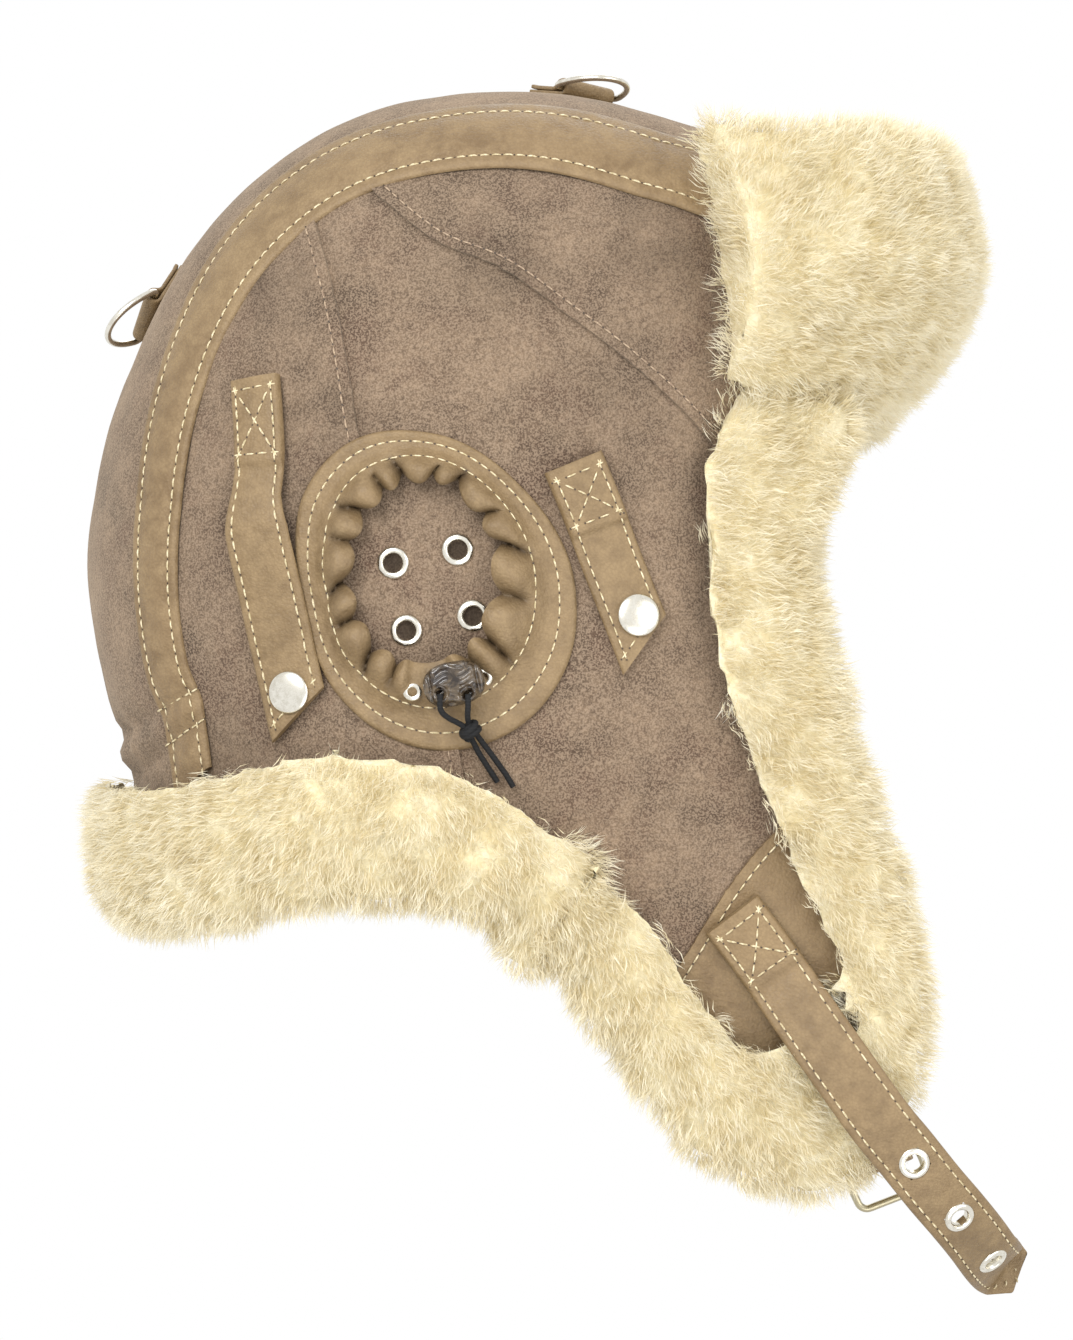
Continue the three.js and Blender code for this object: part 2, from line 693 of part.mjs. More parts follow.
// A station has a skin point for each share along, and out and high as in hideEdge.
// Every other one is a parting.
function furBand(stations) {
  const rows = stations.map(({ skin, out, high }, i) => {
    const parting = i % 2 ? -lockRelief : 0;
    const edge = skin(1);
    const away = edge.clone().sub(skin(0.9)).normalize();
    return furSection.map((point) => {
      const base = skin(Math.min(1, point.along));
      const { past = 0, deep = 0 } = point;
      const rise = (point.high ?? 0) * furThickness * high + (point.seat ?? 0) * furSeat - deep * wall;
      const grow = outward(base).multiplyScalar(point.high ? 1 : 0).addScaledVector(away, past ? 1 : 0);
      const p = base.addScaledVector(outward(base), rise).addScaledVector(away, past * furOverhang * out);
      return p.addScaledVector(grow, point.tuft * parting);
    });
  });
  return banded(rows, (ring) => ring[2].clone().lerp(ring[6], 0.5));
}
function sideStation(t, side) {
  const [edge, inner] = [edgeCurve.getPoint(t), furCurve.getPoint(t)];
  const skin = (f) => onSide(mix(inner.x, edge.x, f), mix(inner.z, edge.z, f), side);
  return { skin, out: alongRows(t, "out"), high: alongRows(t, "high") };
}
function napeStation(y) {
  const [low, high] = [napeDeg(napeUp, y), napeDeg(napeFurUp, y)];
  const { out, high: fullHigh } = hideEdge.at(-1);
  return { skin: (f) => onCrown(mix(high, low, f), y), out, high: fullHigh };
}
const sideRun = edgeCurve.getLength();
const furJoin = 15.5 / (hideEdge.length - 1); // flap's fur meets the nape's
const locksBetween = (from, to, run) => 2 * Math.round(((to - from) * run) / lockWidth);
const joinGap = 0.4 / sideRun; // slit between the two furs
const napeHalf = 0.86 * seamHalf; // where the nape's fur leaves the sides' curve
for (const [side, hand] of [
  [right, "right"],
  [left, "left"],
]) {
  const count = locksBetween(0, furJoin, sideRun);
  const stations = stretch(0, furJoin - joinGap, count).map((t) => sideStation(t, side));
  add(`fur_flap_${hand}`, furBand(stations), fleece);
}
const napeSide = stretch(furJoin + joinGap, 1, locksBetween(furJoin, 1, sideRun));
const napeMiddle = stretch(-napeHalf, napeHalf, locksBetween(-1, 1, napeHalf));
add(
  "fur_nape",
  furBand([
    ...napeSide.map((t) => sideStation(t, right)),
    ...napeMiddle.map(napeStation),
    ...[...napeSide].reverse().map((t) => sideStation(t, left)),
  ]),
  fleece,
);

// Turned-up visor: each section stands on the forehead's fold and flares away from the crown. rise is a
// share of the height, back and out are shares of the depth at the forehead, and tuft is as in the
// fur's section.
const visorSection = [
  { rise: 0.03, back: 0 },
  { rise: 0.35, back: 0.02 },
  { rise: 0.7, back: 0.08 },
  { rise: 0.95, back: 0.2 },
  { rise: 1.03, out: 0.55, tuft: 1 },
  { rise: 0.99, out: 0.88, tuft: 1 },
  { rise: 0.82, out: 1, tuft: 1 },
  { rise: 0.6, out: 0.97, tuft: 1 },
  { rise: 0.38, out: 0.8, tuft: 1 },
  { rise: 0.18, out: 0.5, tuft: 1 },
  { rise: 0.03, out: 0.22, tuft: 0.6 },
];
const visorPivotX = 30; // the visor's sections fan out from this line through the head
// Skin along a level ray from the visor's pivot, turned from straight ahead
function aheadOf(turn, z) {
  const ray = vec(Math.cos(turn), Math.sin(turn), 0);
  let [low, high] = [0, halfLength * 1.5];
  for (let pass = 0; pass < 24; pass += 1) {
    const middle = (low + high) / 2;
    if (level(vec(visorPivotX, 0, z).addScaledVector(ray, middle)) < 0) low = middle;
    else high = middle;
  }
  return { ray, reach: low };
}
function visor() {
  const locks = 2 * Math.round((halfLength * 2.2) / lockWidth);
  const rows = stretch(-1, 1, locks).map((s, i) => {
    const turn = s * visorSpread * degree;
    const side = s * s;
    const parting = i % 2 ? -lockRelief : 0;
    const bottom = sideZ(0.205) + side * visorLift;
    const top = bottom + visorHeight * mix(1, 0.9, side);
    const depth = visorDepth * mix(1, 0.62, side);
    return visorSection.map((point) => {
      const z = mix(bottom, top, point.rise);
      const { ray, reach } = aheadOf(turn, Math.min(z, bottom + 0.8 * visorHeight));
      const stand = visorGap + depth * (point.back ?? point.out) + (point.tuft ?? 0) * parting;
      return vec(visorPivotX, 0, z).addScaledVector(ray, reach + stand);
    });
  });
  return banded(rows);
}
add("fur_visor", visor(), fleece);

// Flat leather through a route of points, with its width along a direction that each row gives
function strip(rows, width, thickness) {
  return loft(
    rows.map(({ p, across, up, extra = 0 }) => {
      const chain = (height) =>
        [-0.5, 0, 0.5].map((f) => p.clone().addScaledVector(across, f * width).addScaledVector(up, height));
      return { top: chain(thickness + extra), under: chain(0) };
    }),
  );
}
function skinStrip(route, side) {
  const curve = new THREE.CatmullRomCurve3(route.map(([along, up]) => vec(sideX(along), 0, sideZ(up))));
  const length = curve.getLength();
  const folded = boxLength / length;
  const shares = [...stretch(0, 1, 6), folded, folded + 0.02].sort((a, b) => a - b);
  const rows = shares.map((t) => {
    const at = curve.getPointAt(t);
    const tangent = curve.getTangentAt(t);
    const skin = onSide(at.x, at.z, side);
    const up = outward(skin);
    const along = vec(tangent.x, 0, tangent.z).addScaledVector(up, -tangent.dot(up)).normalize();
    const across = up.clone().cross(along).multiplyScalar(side);
    return { p: skin.addScaledVector(up, strapSeat), across, up, extra: t <= folded ? foldLeather : 0 };
  });
  return strip(rows, strapWidth, strapLeather);
}
const strapRoutes = {
  rear: [
    [-0.525, 0.338],
    [-0.535, 0.237],
    [-0.55, 0.128],
    [-0.56, 0.03],
    [-0.525, -0.067],
    [-0.474, -0.163],
    [-0.43, -0.254],
  ],
  front: [
    [0.29, 0.17],
    [0.335, 0.064],
    [0.38, -0.015],
    [0.43, -0.089],
    [0.475, -0.152],
  ],
};
const snapPlaces = { rear: [-0.442, -0.224], front: [0.46, -0.13] };
const snap = () =>
  turned(
    [
      [0, 0],
      [snapRadius, 0],
      [snapRadius, snapHeight * 0.35],
      [snapRadius * 0.82, snapHeight * 0.85],
      [0, snapHeight],
    ],
    12,
  );

for (const [side, hand] of [
  [right, "right"],
  [left, "left"],
]) {
  for (const [which, route] of Object.entries(strapRoutes)) {
    add(`${which}_strap_${hand}`, skinStrip(route, side), smoothLeather);
    const [along, up] = snapPlaces[which];
    const height = strapSeat + strapLeather + strapSeat;
    seatOn(add(`${which}_snap_${hand}`, snap(), nickel), sideX(along), sideZ(up), side, height);
  }
}

// Extrudes an outline drawn in a piece's own X and Z along its Y, centred
function acrossSolid(shape, width) {
  const geometry = new THREE.ExtrudeGeometry(shape, { depth: width, bevelEnabled: false, curveSegments: 5 });
  return geometry.rotateX(Math.PI / 2).translate(0, width / 2, 0);
}
// Leather folded round a bar at the origin, with its two layers sewn flat behind it along -X
function barLoop(barRadius, tail, width) {
  const inner = barRadius + barPlay;
  const outer = inner + leather;
  const shape = new THREE.Shape();
  shape.moveTo(-tail, -outer);
  shape.lineTo(0, -outer);
  shape.absarc(0, 0, outer, -Math.PI / 2, Math.PI / 2, false);
  shape.lineTo(-outer * 0.6, outer * 0.8);
  shape.lineTo(-outer * 1.6, -outer + 2 * leather);
  shape.lineTo(-tail, -outer + 2 * leather);
  shape.closePath();
  const bore = new THREE.Path();
  bore.absarc(0, 0, inner, 0, Math.PI * 2, true);
  shape.holes.push(bore);
  return acrossSolid(shape, width);
}
// Wire frame in a piece's own X and Y with its bar along Y at the origin
function wireFrame(width, reach, wire, round) {
  const half = width / 2 + wire / 2;
  const points = stretch(-half, half, 4).map((y) => vec(0, y, 0));
  const far = reach + wire;
  const onBow = (deg) => vec(far * Math.cos(deg * degree), half * Math.sin(deg * degree), 0);
  const square = [half, 0, -half].map((y) => vec(far, y, 0));
  const bow = round ? stretch(90, -90, 8).slice(1, -1).map(onBow) : square;
  return wireLoop([...points, ...bow], vec(0, 0, 1), wire / 2, 6);
}

// D-rings: angle on the profile and millimetres off the middle, turn about the skin's outward direction,
// how far the ring stands off the skin in degrees, and how deep the tab presses into the nap
const ringPlaces = {
  crown: { deg: 72, y: 6, turn: -56, stand: 17, press: 0.4 },
  back: { deg: 149, y: 9, turn: 43, stand: 30, press: 1 },
};
for (const [name, { deg, y, turn, stand, press }] of Object.entries(ringPlaces)) {
  const p = onCrown(deg, y);
  const up = outward(p);
  const ahead = name === "crown" ? vec(1, 0, 0) : vec(-1, 0, -1); // the back one points down to the nape
  const forward = ahead.addScaledVector(up, -ahead.dot(up)).normalize();
  const group = new THREE.Group();
  const lying = new THREE.Matrix4().makeBasis(forward, up.clone().cross(forward), up);
  group.quaternion.setFromRotationMatrix(lying);
  group.rotateZ(turn * degree);
  const loopRadius = ringWire / 2 + barPlay + leather;
  group.position.copy(p).addScaledVector(up, loopRadius + strapSeat - press);
  helmet.add(group);
  add(`${name}_tab`, barLoop(ringWire / 2, tabLength, tabWidth), smoothLeather, group);
  const ring = add(`${name}_ring`, wireFrame(ringWidth, ringReach, ringWire, true), nickel, group);
  ring.rotateY(-stand * degree);
}

// Chin strap: its first stretch lies on the right flap, the rest hangs free and turns in at its end.
// along and up are side-view shares, out is a share of halfBreadth.
const chinRoute = [
  { along: 0.703, up: -0.553, out: 0.915 },
  { along: 0.804, up: -0.629, out: 0.89 },
  { along: 0.878, up: -0.69, out: 0.92 },
  { along: 0.99, up: -0.78, out: 0.945 },
  { along: 1.1, up: -0.866, out: 0.91 },
  { along: 1.16, up: -0.907, out: 0.86 },
  { along: 1.235, up: -0.96, out: 0.81 },
  { along: 1.3, up: -1.003, out: 0.735 },
  { along: 1.353, up: -1.04, out: 0.63 },
  { along: 1.396, up: -1.073, out: 0.505 },
  { along: 1.418, up: -1.088, out: 0.38 },
  { along: 1.427, up: -1.092, out: 0.265 },
];
const chinCurve = new THREE.CatmullRomCurve3(
  chinRoute.map(({ along, up, out }) => vec(sideX(along), -out * halfBreadth, sideZ(up))),
);
function chinFrame(t) {
  const p = chinCurve.getPointAt(t);
  const tangent = chinCurve.getTangentAt(t);
  const across = vec(-tangent.z, 0, tangent.x).normalize();
  return { p, across, up: tangent.clone().cross(across).normalize() };
}
const chinEyeletShares = [0.56, 0.7, 0.86];
function chinStrap() {
  const folded = boxLength / chinCurve.getLength();
  const shares = [...stretch(0, 1, 13), folded, folded + 0.015].sort((a, b) => a - b);
  const rows = shares.map((t) => ({ ...chinFrame(t), extra: t <= folded ? foldLeather : 0 }));
  const cuts = chinEyeletShares.map((t) => placedSolid(chinPlace(new THREE.Mesh(eyeletHole), t, 0)));
  const whole = toSolid(strip(rows, strapWidth, strapLeather));
  return fromSolid(cuts.reduce((solid, cut) => solid.subtract(cut), whole));
}
function chinPlace(mesh, t, height) {
  const { p, across, up } = chinFrame(t);
  const frame = new THREE.Matrix4().makeBasis(across, up.clone().cross(across), up);
  mesh.quaternion.setFromRotationMatrix(frame);
  mesh.position.copy(p).addScaledVector(up, height);
  return mesh;
}
add("chin_strap", chinStrap(), smoothLeather);
chinEyeletShares.forEach((t, i) => {
  chinPlace(add(`chin_eyelet_${i + 1}`, eyelet(strapLeather), nickel), t, strapLeather + strapSeat);
});

// Buckle strap on the left flap: along it lies like the chin strap, then it hangs down to the buckle's bar
const buckleRoute = [
  { along: 0.703, up: -0.553, out: 0.915 },
  { along: 0.804, up: -0.629, out: 0.89 },
  { along: 0.878, up: -0.69, out: 0.92 },
  { along: 0.985, up: -0.775, out: 0.945 },
  { along: 1.085, up: -0.86, out: 0.9 },
  { along: 1.14, up: -0.94, out: 0.9 },
];
function buckleStrap() {
  const curve = new THREE.CatmullRomCurve3(
    buckleRoute.map(({ along, up, out }) => vec(sideX(along), out * halfBreadth, sideZ(up))),
  );
  const folded = boxLength / curve.getLength();
  const shares = [...stretch(0, 1, 8), folded, folded + 0.015].sort((a, b) => a - b);
  const rows = shares.map((t) => {
    const tangent = curve.getTangentAt(t);
    const across = vec(tangent.z, 0, -tangent.x).normalize();
    const up = tangent.clone().cross(across).normalize();
    return { p: curve.getPointAt(t), across, up, extra: t <= folded ? foldLeather : 0 };
  });
  return { geometry: strip(rows, strapWidth, strapLeather), end: rows.at(-1) };
}
const { geometry: buckleStrapGeometry, end: buckleEnd } = buckleStrap();
add("buckle_strap", buckleStrapGeometry, smoothLeather);

// Leather loop at the strap's end and the buckle that hangs from it, with its bar across the strap
const loopTail = 6; // bar to the loop's sewn end
const buckleGroup = new THREE.Group();
const buckleDown = buckleEnd.across.clone().cross(buckleEnd.up).normalize();
buckleGroup.quaternion.setFromRotationMatrix(
  new THREE.Matrix4().makeBasis(buckleDown, buckleEnd.up.clone().cross(buckleDown), buckleEnd.up),
);
buckleGroup.position
  .copy(buckleEnd.p)
  .addScaledVector(buckleDown, loopTail + seat)
  .addScaledVector(buckleEnd.up, buckleWire / 2 + barPlay + leather);
helmet.add(buckleGroup);
add("buckle_loop", barLoop(buckleWire / 2, loopTail, strapWidth), smoothLeather, buckleGroup);
const buckle = add("buckle", wireFrame(buckleWidth, buckleReach, buckleWire, false), brassWire, buckleGroup);
buckle.rotateY(Math.atan2(buckleEnd.up.z, buckleDown.z) + Math.PI); // hangs straight down

// Elastic cord of the ear pocket: two eyelets, the lock's two bores, two ends and their knot.
// Each point is in millimetres: forward of the ear line's middle, out from the helmet's widest place,
// and up from the ear line.
const cordRoutes = {
  1: [
    [-6.3, 11.1, -45.1],
    [-6.3, 11.1, -47.1],
    [-6.3, 11.1, -49.1],
    [-5.6, 10.8, -50.6],
    [-3.8, 10, -52.1],
    [-1.5, 8.9, -53.3],
    [0.4, 7.9, -54.5],
    [1.5, 7.1, -56.2],
    [2.6, 6.2, -57.9],
    [3.7, 5.1, -59.9],
    [4.9, 3.9, -62.3],
    [6.4, 2.7, -64.7],
    [7.9, 1.7, -67.1],
    [9.3, 1.1, -69.2],
    [10.3, 0.7, -70.8],
  ],
  2: [
    [1.8, 11.1, -45.1],
    [1.8, 11.1, -47.1],
    [1.8, 11.1, -49.1],
    [1.7, 10.5, -50.6],
    [1.7, 9.4, -52],
    [2, 7.9, -53.4],
    [3.1, 7.1, -55.1],
    [4.2, 6.2, -56.8],
    [5.7, 5.1, -58.9],
    [7.6, 3.8, -61.4],
    [9.5, 2.7, -64],
    [11.3, 1.7, -66.5],
    [12.9, 1.1, -68.8],
    [14.2, 0.7, -71],
    [14.9, 0.5, -72.2],
  ],
};
const cordStep = 2.4; // diameters
const cordPlace = ([ahead, out, up], side) =>
  vec(centreX + ahead, side * (halfBreadth + out), centreZ + up);
function cord(route, side) {
  const curve = new THREE.CatmullRomCurve3(route.map((point) => cordPlace(point, side)));
  const section = new THREE.Shape();
  section.absarc(0, 0, cordDiameter / 2, 0, Math.PI * 2);
  return new THREE.ExtrudeGeometry(section, {
    steps: Math.round(curve.getLength() / (cordStep * cordDiameter)),
    extrudePath: curve,
    curveSegments: 4,
  });
}
function lockBody() {
  const half = { x: stopWidth / 2, z: stopDepth / 2 };
  const shape = new THREE.Shape();
  shape.absellipse(0, 0, half.x, half.z, 0, Math.PI * 2);
  const sweep = { depth: stopHeight, bevelEnabled: false, curveSegments: 6 };
  const body = new THREE.ExtrudeGeometry(shape, sweep);
  body.rotateX(Math.PI / 2).translate(0, stopHeight / 2, 0);
  const bores = [-0.5, 0.5].map((s) => {
    const radius = cordDiameter / 2 + cordPlay;
    const bore = new THREE.CylinderGeometry(radius, radius, stopHeight * 2, 8);
    return toSolid(bore.translate(s * cordSpacing, 0, 0));
  });
  return fromSolid(bores.reduce((solid, bore) => solid.subtract(bore), toSolid(body)));
}
// Eyelet of the elastic's channel
function cordEyelet() {
  const radius = cordDiameter + cordBrim;
  return turned(
    [
      [cordDiameter * 0.7, 0],
      [radius, 0],
      [radius * 0.8, eyeletHeight * 0.8],
      [cordDiameter * 0.7, eyeletHeight * 0.8],
    ],
    8,
  );
}
// Flat-sided ring that both cords run through
function knotRing(spacing) {
  const stadium = (grow) => {
    const radius = cordDiameter / 2 + grow;
    const shape = new THREE.Shape();
    shape.absarc(spacing / 2, 0, radius, -Math.PI / 2, Math.PI / 2, false);
    shape.absarc(-spacing / 2, 0, radius, Math.PI / 2, (Math.PI * 3) / 2, false);
    shape.closePath();
    return shape;
  };
  const shape = stadium(cordPlay + knotWall);
  shape.holes.push(stadium(cordPlay));
  const sweep = { depth: knotLength, bevelEnabled: false, curveSegments: 4 };
  const geometry = new THREE.ExtrudeGeometry(shape, sweep);
  return geometry.translate(0, 0, -knotLength / 2);
}

const knotAt = 0.44; // the knot's place between the two cords, as a share of their points
const lockLift = 3; // the lock's middle over the cords' first points
for (const [side, hand] of [
  [right, "right"],
  [left, "left"],
]) {
  const eyelets = [262, 302].map((deg) => pocketRow(deg)[2]);
  const surface = Math.max(...eyelets.map(({ height }) => height)) + leather;
  eyelets.forEach(({ place }, i) => {
    const rim = add(`cord_eyelet_${hand}_${i + 1}`, cordEyelet(), nickel);
    seatOn(rim, place.x, place.z, side, surface + seat);
  });
  const lock = add(`cord_lock_${hand}`, lockBody(), darkPlastic);
  lock.position.copy(cordPlace(cordRoutes[1][0], side)).add(vec(cordSpacing / 2, 0, lockLift));
  lock.rotateX(Math.PI / 2);
  for (const [which, route] of Object.entries(cordRoutes)) {
    add(`ear_cord_${hand}_${which}`, cord(route, side), blackCord);
  }
  const pair = Object.values(cordRoutes).map((route) => {
    const row = Math.round(knotAt * (route.length - 1)) + (route === cordRoutes[1] ? 1 : 0);
    return route.slice(row - 1, row + 2).map((point) => cordPlace(point, side));
  });
  const knot = add(`cord_knot_${hand}`, knotRing(pair[0][1].distanceTo(pair[1][1])), blackCord);
  knot.position.copy(pair[0][1]).add(pair[1][1]).multiplyScalar(0.5);
  const along = pair[0][2].clone().sub(pair[0][0]).normalize();
  const between = pair[1][1].clone().sub(pair[0][1]).normalize();
  const basis = new THREE.Matrix4().makeBasis(between, along.clone().cross(between), along);
  knot.quaternion.setFromRotationMatrix(basis);
}
export default helmet;
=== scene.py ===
# Sheepskin flying helmet: suede shell, tan leather trim, cream wool, nickel studs and rings.
# Lengths are in millimetres until a mesh is made. +X is the face side, +Z up, -Y the wearer's right.
import json
import math

import bmesh
import bpy
import numpy as np
from mathutils import Matrix, Vector, kdtree, noise

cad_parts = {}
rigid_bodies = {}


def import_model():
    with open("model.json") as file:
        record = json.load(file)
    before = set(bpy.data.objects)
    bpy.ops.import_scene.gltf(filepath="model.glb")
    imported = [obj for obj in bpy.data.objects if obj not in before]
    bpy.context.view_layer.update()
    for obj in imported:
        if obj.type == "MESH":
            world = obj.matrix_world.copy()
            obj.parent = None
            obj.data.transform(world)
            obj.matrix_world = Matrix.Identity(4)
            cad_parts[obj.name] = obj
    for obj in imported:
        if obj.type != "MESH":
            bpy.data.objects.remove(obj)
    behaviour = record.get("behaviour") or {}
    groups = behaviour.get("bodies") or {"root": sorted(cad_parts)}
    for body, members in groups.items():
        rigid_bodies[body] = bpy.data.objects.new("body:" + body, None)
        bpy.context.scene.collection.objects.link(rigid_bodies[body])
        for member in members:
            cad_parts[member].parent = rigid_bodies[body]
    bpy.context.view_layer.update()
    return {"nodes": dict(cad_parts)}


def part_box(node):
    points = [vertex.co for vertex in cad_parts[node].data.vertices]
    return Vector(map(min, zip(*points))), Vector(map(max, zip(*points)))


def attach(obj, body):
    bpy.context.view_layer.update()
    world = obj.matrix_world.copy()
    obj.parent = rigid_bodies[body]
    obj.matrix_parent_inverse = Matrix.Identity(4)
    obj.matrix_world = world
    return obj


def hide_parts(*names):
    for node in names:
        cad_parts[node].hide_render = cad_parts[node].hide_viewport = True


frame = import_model()
scene = bpy.context.scene
mm = 0.001
right, left = -1, 1
hands = {right: "right", left: "left"}


def show(name, data):
    made = bpy.data.objects.new(name, data)
    scene.collection.objects.link(made)
    return made


# Camera, at the photo's distance and height
cameraSettings = dict(distance=2400, x=30.4, z=-163.6, frameHeight=406.06, sensor=36, clipEnd=20)


def makeCamera(s=cameraSettings):
    camera = show("camera", bpy.data.cameras.new("camera"))
    camera.data.sensor_width = s["sensor"]
    camera.data.lens = s["sensor"] * s["distance"] / s["frameHeight"]
    camera.location = (s["x"] * mm, -s["distance"] * mm, s["z"] * mm)
    camera.rotation_euler = (math.pi / 2, 0, 0)
    camera.data.clip_end = s["clipEnd"]
    scene.camera = camera


makeCamera()
print("stage: camera")


# The helmet's body, as the construction has it
body = dict(
    halfLength=112, crownHeight=135.5, flapDrop=198, halfBreadth=88, wall=10, flapDrawIn=12, drawInStart=0.25,
    centreWidth=112, centreX=8.7, foreheadDeg=11, napeUp=-0.55,
)
centreX, centreZ = body["centreX"], body["wall"] - body["crownHeight"]
seamHalf = body["centreWidth"] / 2

# Side profile about the ear line: angle, reach as a share of the half length or height, and how square it is
profile = np.array([
    (0, 0.985, 2.4), (12, 1.003, 2.4), (20, 1.066, 2.4), (28, 1.143, 2.5), (38, 1.216, 2.6), (45, 1.208, 2.8),
    (51, 1.159, 2.9), (60, 1.09, 3), (74, 1.038, 3), (92, 0.999, 2.9), (112, 0.992, 2.6), (139, 0.988, 2.35),
    (157, 0.987, 2.25), (173, 1.003, 2.2), (184, 1.019, 2.2), (194, 0.993, 2.2), (200, 0.962, 2.2),
    (213, 1.046, 2.2), (225, 1.35, 2.3), (240, 1.9, 2.4), (270, 2.2, 2.4), (325, 2.15, 2.4), (338, 1.58, 2.4),
    (349, 1.19, 2.4),
])


def roundCurve(deg, value):
    # smooth curve through values at angles that run round a full turn
    turns = np.concatenate([deg - 360, deg, deg + 360])
    values = np.tile(value, 3)
    slopes = (np.roll(values, -1) - np.roll(values, 1)) / (np.roll(turns, -1) - np.roll(turns, 1))

    def at(angle):
        a = np.mod(angle, 360)
        i = np.searchsorted(turns, a, side="right") - 1
        span = turns[i + 1] - turns[i]
        t = (a - turns[i]) / span
        start = (2 * t**3 - 3 * t**2 + 1) * values[i] + (t**3 - 2 * t**2 + t) * span * slopes[i]
        return start + (3 * t**2 - 2 * t**3) * values[i + 1] + (t**3 - t**2) * span * slopes[i + 1]

    return at


reachAt = roundCurve(profile[:, 0], profile[:, 1])
fullAt = roundCurve(profile[:, 0], profile[:, 2])


def ease(t):
    t = np.clip(t, 0, 1)
    return t * t * (3 - 2 * t)


def bell(d, width):
    return np.exp(-((d / width) ** 2))


def sideX(along):
    return centreX + np.asarray(along) * body["halfLength"]


def sideZ(up):
    up = np.asarray(up, float)
    return centreZ + up * np.where(up > 0, body["crownHeight"], body["flapDrop"])


def shareX(x):
    return (x - centreX) / body["halfLength"]


def shareZ(z):
    return (z - centreZ) / np.where(z > centreZ, body["crownHeight"], body["flapDrop"])


def breadthAt(up):
    start = body["drawInStart"]
    return body["halfBreadth"] - body["flapDrawIn"] * ease((-up - start) / (1 - start))


def polar(along, up):
    deg = np.degrees(np.arctan2(up, along))
    return np.hypot(along, up) / reachAt(deg), fullAt(deg)


def level(p):
    up = shareZ(p[..., 2])
    share, full = polar(shareX(p[..., 0]), up)
    return (np.abs(p[..., 1]) / breadthAt(up)) ** full + share**full - 1


def onSide(x, z, side):
    # point of the outer skin at a side-view place
    x, z = np.asarray(x, float), np.asarray(z, float)
    up = shareZ(z)
    share, full = polar(shareX(x), up)
    y = side * breadthAt(up) * np.maximum(0, 1 - share**full) ** (1 / full)
    return np.stack([x, y, z], -1)


def onCrown(deg, y):
    # point of the outer skin on the profile's ray at an angle, y off the middle
    deg, y = np.broadcast_arrays(np.asarray(deg, float), np.asarray(y, float))
    full, share = fullAt(deg), 1.0
    for _ in range(5):
        up = share * reachAt(deg) * np.sin(np.radians(deg))
        share = (1 - (np.abs(y) / breadthAt(up)) ** full) ** (1 / full)
    reach = share * reachAt(deg)
    return np.stack([sideX(reach * np.cos(np.radians(deg))), y, sideZ(up)], -1)


def outward(p):
    step = 0.2 * np.eye(3)
    slope = np.stack([level(p + d) - level(p - d) for d in step], -1)
    return slope / np.linalg.norm(slope, axis=-1, keepdims=True)


def unit(v):
    return v / np.maximum(np.linalg.norm(v, axis=-1, keepdims=True), 1e-9)


def smoothPath(points, count):
    # centripetal Catmull-Rom curve, sampled evenly along its length
    p = np.asarray(points, float)
    p = np.vstack([2 * p[0] - p[1], p, 2 * p[-1] - p[-2]])
    out = []
    for i in range(1, len(p) - 2):
        gaps = np.linalg.norm(np.diff(p[i - 1 : i + 3], axis=0), axis=1) ** 0.5
        d0, d1, d2 = np.maximum(gaps, 1e-4)
        m1 = ((p[i] - p[i - 1]) / d0 - (p[i + 1] - p[i - 1]) / (d0 + d1) + (p[i + 1] - p[i]) / d1) * d1
        m2 = ((p[i + 1] - p[i]) / d1 - (p[i + 2] - p[i]) / (d1 + d2) + (p[i + 2] - p[i + 1]) / d2) * d1
        t = np.linspace(0, 1, 60)[:, None]
        a, b = 2 * p[i] - 2 * p[i + 1] + m1 + m2, -3 * p[i] + 3 * p[i + 1] - 2 * m1 - m2
        out.append(a * t**3 + b * t**2 + m1 * t + p[i])
    return spread(np.vstack(out), count)


def spread(points, count):
    # the same line with points evenly along it
    steps = np.r_[0, np.cumsum(np.linalg.norm(np.diff(points, axis=0), axis=1))]
    at = np.linspace(0, steps[-1], count)
    return np.stack([np.interp(at, steps, points[:, k]) for k in range(points.shape[1])], -1)


def runLength(points):
    return np.linalg.norm(np.diff(points, axis=0), axis=1).sum()


def rumple(points, size, seed=0, ridged=False):
    # soft noise, with features about as wide as size
    shift = Vector((seed * 17.3, seed * 5.1, seed * 9.7))
    values = np.array([noise.noise(Vector(p) / size + shift) for p in points.reshape(-1, 3)])
    if ridged:
        values = 1 - 2 * np.abs(values)
    return values.reshape(points.shape[:-1])


# Meshes
def makeMesh(name, points, faces, material, sharp=None):
    # a face that lists a corner twice is a triangle
    mesh = bpy.data.meshes.new(name)
    corners = [list(dict.fromkeys(face)) for face in faces]
    mesh.from_pydata((np.asarray(points).reshape(-1, 3) * mm).tolist(), [], corners)
    work = bmesh.new()
    work.from_mesh(mesh)
    bmesh.ops.remove_doubles(work, verts=work.verts, dist=1e-6)
    bmesh.ops.recalc_face_normals(work, faces=work.faces)
    work.to_mesh(mesh)
    work.free()
    mesh.materials.append(material)
    mesh.polygons.foreach_set("use_smooth", [True] * len(mesh.polygons))
    if sharp:
        mesh.set_sharp_from_angle(angle=math.radians(sharp))
    return show(name, mesh)


def store(mesh, name, values, kind="FLOAT"):
    # keeps a number or a vector for each vertex
    field = "value" if kind == "FLOAT" else "vector"
    mesh.attributes.new(name, kind, "POINT").data.foreach_set(field, np.asarray(values, np.float32).ravel())


def settle(piece, nodes=(), owner="root"):
    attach(piece, owner)
    if nodes:
        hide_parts(*nodes)
    return piece


